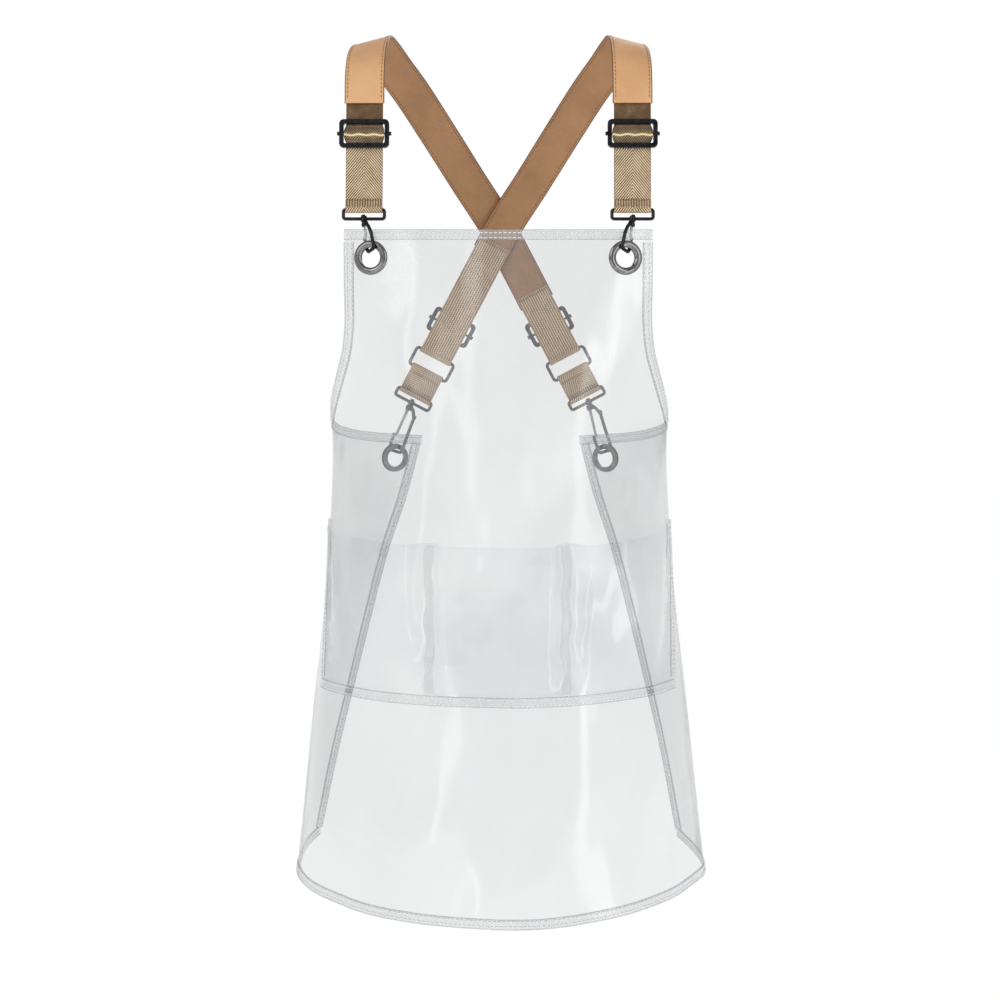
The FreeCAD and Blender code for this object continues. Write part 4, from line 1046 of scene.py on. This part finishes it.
def eye_line(run, wire, out):
    """Side view of a strip: down the long leg, round the bar and back up the short leg."""
    t = WEB_THICK
    radius = wire + WIRE_GAP + t / 2
    seam = wire + WIRE_GAP + t + 6.5
    long_y, short_y = -out * t / 2, out * t / 2
    line = [(long_y, z) for z in np.arange(run, radius + 3.0, -6.0)]
    line.append((long_y, radius + 2.2))
    for k in np.linspace(118, -298, 15):
        angle = math.radians(k)
        line.append((out * radius * math.cos(angle), radius * math.sin(angle)))
    line += [(short_y, radius + 2.2), (short_y, radius + 4.0), (short_y, seam)]
    return line


def seam_stitches(name, place, heights, y, body):
    """Rows of stitches across a strip, on the face whose normal is the sign of y."""
    half = WEB_WIDTH / 2 - 1.5
    thread = Thread()
    for z in heights:
        line = [place.point(u, y, z) for u in np.linspace(-half, half, 24)]
        thread.row(line, [place.y * math.copysign(1.0, y)] * len(line), 2.6, 1.9, 0.3, 0.1)
    thread.done(name, web_thread, body)


def make_fold_line(out):
    """Side view of the webbing that rises over the slider's bar."""
    centre = out * (0.35 + SLIDER_THICK / 2)
    top = centre + out * (SLIDER_BAR + 0.1)
    return [(out * 1.05, 8.6), (out * 1.28, 6.65), (top - out * 0.95, 3.95),
            (top + out * 0.65, 0.0), (top - out * 0.95, -3.95), (out * 1.28, -6.65),
            (out * 1.05, -8.6)]


def make_front(side, word):
    """Webbing of one strap in front."""
    bar = front_frame(side).moved(0, BACK_OFFSET, 0)
    place = "front_" + word
    run = FRONT_RUN + WEB_TUCK
    # Painted shade on the two-layer webbing above the slider and on the end turned up at the seam.
    make_ribbon(f"web_{place}", bar, eye_line(run, LOOP_WIRE, -1), WEB_THICK, -1, front_web,
                "apron", f"webbing_{place}", painted_shade_top=run - SLIDER_FRONT, painted_shade_end=9.0)
    seam_stitches(f"web_seam_{place}", bar, (9.4,), -WEB_THICK - 0.05, "apron")
    # Painted highlight along the fold over the slider's bar, the rest of the fold darker as
    # painted shade.
    make_ribbon(f"fold_{place}", bar.moved(0, 0, SLIDER_FRONT), make_fold_line(-1), FOLD_THICK,
                -1, shaded_fold_web, f"bar_{place}", f"slider_fold_{place}", wavy=FOLD_WAVE,
                width=FOLD_WIDTH, painted_highlight=0.9, tapered=0.1)


def make_rear(side, word):
    """Webbing and tab of one strap behind."""
    place = "rear_" + word
    leather = LEATHER_LONG[-1] if side > 0 else LEATHER_SHORT[-1]
    top_bar = RING_REAR - RING_HEIGHT / 2 + RING_WIRE
    eye = rear_frame(side, top_bar).moved(0, -BACK_OFFSET, 0)
    run = top_bar - leather + WEB_TUCK
    make_ribbon(f"web_{place}", eye, eye_line(run, RING_WIRE, 1), WEB_THICK, 1, rear_web, "apron",
                f"webbing_{place}")
    seam_stitches(f"web_seam_{place}", eye, (run - 2.0, run - 3.6), -WEB_THICK - 0.05, "apron")
    slide = rear_frame(side, SLIDER_REAR).moved(0, -BACK_OFFSET, 0)
    # The fold over the slider's bar takes the webbing darkened with painted shade.
    make_ribbon(f"fold_{place}", slide, make_fold_line(1), FOLD_THICK, 1, shaded_fold_web,
                f"bar_{place}", f"slider_fold_{place}", wavy=FOLD_WAVE)
    low = eye.moved(0, 0, -RING_REACH - TAB_SPAN)
    t = WEB_THICK
    r_low, r_high = LOOP_WIRE + WIRE_GAP + t / 2, RING_WIRE + WIRE_GAP + t / 2
    line = []
    for turn in np.radians(np.linspace(-200, 20, 9)):
        line.append((r_low * math.cos(turn), r_low * math.sin(turn)))
    line += [(t / 2 + 0.3, r_low + 2.2), (t / 2, r_low + 5), (t / 2, TAB_SPAN - r_high - 5),
             (t / 2 + 0.3, TAB_SPAN - r_high - 2.2)]
    for turn in np.radians(np.linspace(-20, 200, 9)):
        line.append((r_high * math.cos(turn), TAB_SPAN + r_high * math.sin(turn)))
    line += [(-t / 2 - 0.3, TAB_SPAN - r_high - 2.2), (-t / 2, TAB_SPAN - r_high - 5),
             (-t / 2, r_low + 5), (-t / 2 - 0.3, r_low + 2.9)]
    make_ribbon(f"tab_web_{place}", low, line, t - 0.1, 1, rear_web, f"ring_{place}",
                f"tab_{place}")
    seam_stitches(f"tab_seam_{place}", low, (TAB_SPAN - 5.6, TAB_SPAN - 7.0), -t - 0.02,
                  f"ring_{place}")


# Build -------------------------------------------------------------------------------

panel = make_panel()
pocket = make_pocket()
tapes = make_tapes()
pocket_tapes = make_pocket_tapes()
for side, word, other in ((1, "left", "right"), (-1, "right", "left")):
    make_leather_strap(side, word)
    make_front(side, word)
    make_rear(side, other)

# Metals of the pieces left as CAD, by the start of the name; the last match counts.
METALS = {"eyelet_": eyelet_metal, "eyelet_washer_front": washer_metal,
          "gate_front": gate_metal, "gate_rear": gate_metal}
for name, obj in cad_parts.items():
    if obj.hide_render:
        continue
    finish = grey_metal if "rear" in name else black_metal
    for start, item in METALS.items():
        if name.startswith(start):
            finish = item
    obj.data.materials.clear()
    obj.data.materials.append(finish)

# Studio ------------------------------------------------------------------------------

FLOOR_Z = -1.45
FLOOR_REACH = 9.0

floor_material, floor_tree, floor_place = new_material("floor_paint")
floor_colour = ramp(floor_tree, noise(floor_tree, floor_place, 1.5, 3.0),
                    (0.3, srgb(122, 122, 122)), (0.7, srgb(126, 126, 126)))
floor_shader = put(floor_tree, "BsdfPrincipled", Base_Color=floor_colour, Roughness=0.8,
                   Emission_Color=(1, 1, 1, 1), Emission_Strength=0.86)
finish_material(floor_tree, floor_shader.outputs[0])
floor_mesh = bpy.data.meshes.new("floor")
floor_corners = [(x * FLOOR_REACH, y * FLOOR_REACH, FLOOR_Z)
                 for x, y in ((-1, -1), (1, -1), (1, 1), (-1, 1))]
floor_mesh.from_pydata(floor_corners, [], [(0, 1, 2, 3)])
floor_mesh.materials.append(floor_material)
floor = bpy.data.objects.new("floor", floor_mesh)
bpy.context.scene.collection.objects.link(floor)


MIDDLE = (0.0, -0.02, -0.42)
LIGHTS = (
    ("key", (-1.7, -2.0, 1.2), (1.8, 1.8), 17.0),
    ("fill", (2.0, -1.9, 0.5), (1.4, 1.8), 9.0),
    ("strip_left", (-0.70, -1.75, -0.30), (0.22, 1.5), 1.5),
    ("strip_right", (1.05, -1.45, -0.45), (0.30, 1.5), 2.2),
    ("back", (0.4, 2.2, 0.8), (1.6, 1.6), 12.0),
)


def area_light(name, place, size, power):
    """Rectangular softbox at a place, facing the middle of the apron."""
    data = bpy.data.lights.new(name, "AREA")
    data.shape = "RECTANGLE"
    data.size, data.size_y = size
    data.energy = power
    light = bpy.data.objects.new(name, data)
    light.location = place
    light.rotation_euler = (Vector(MIDDLE) - Vector(place)).to_track_quat("-Z", "Y").to_euler()
    bpy.context.scene.collection.objects.link(light)


for light_row in LIGHTS:
    area_light(*light_row)

world = bpy.data.worlds.new("studio")
bpy.context.scene.world = world
world.use_nodes = True
tree = world.node_tree
tree.nodes.clear()
path = put(tree, "LightPath").outputs["Is Camera Ray"]
direction = put(tree, "TexCoord").outputs["Generated"]
parts = put(tree, "SeparateXYZ", Vector=direction)
band = ramp(tree, scaled(tree, parts.outputs["X"], 0.5, 0.5),
            (0.0, (0.78, 0.78, 0.79, 1)), (0.33, (0.42, 0.42, 0.43, 1)),
            (0.5, (0.70, 0.70, 0.71, 1)), (0.67, (0.42, 0.42, 0.43, 1)),
            (1.0, (0.82, 0.82, 0.83, 1)))
soft = put(tree, "Background", Color=band, Strength=0.9).outputs[0]
white = put(tree, "Background", Color=(1, 1, 1, 1), Strength=1.0).outputs[0]
put(tree, "OutputWorld", Surface=put(tree, "MixShader", i0=path, i1=soft, i2=white).outputs[0])
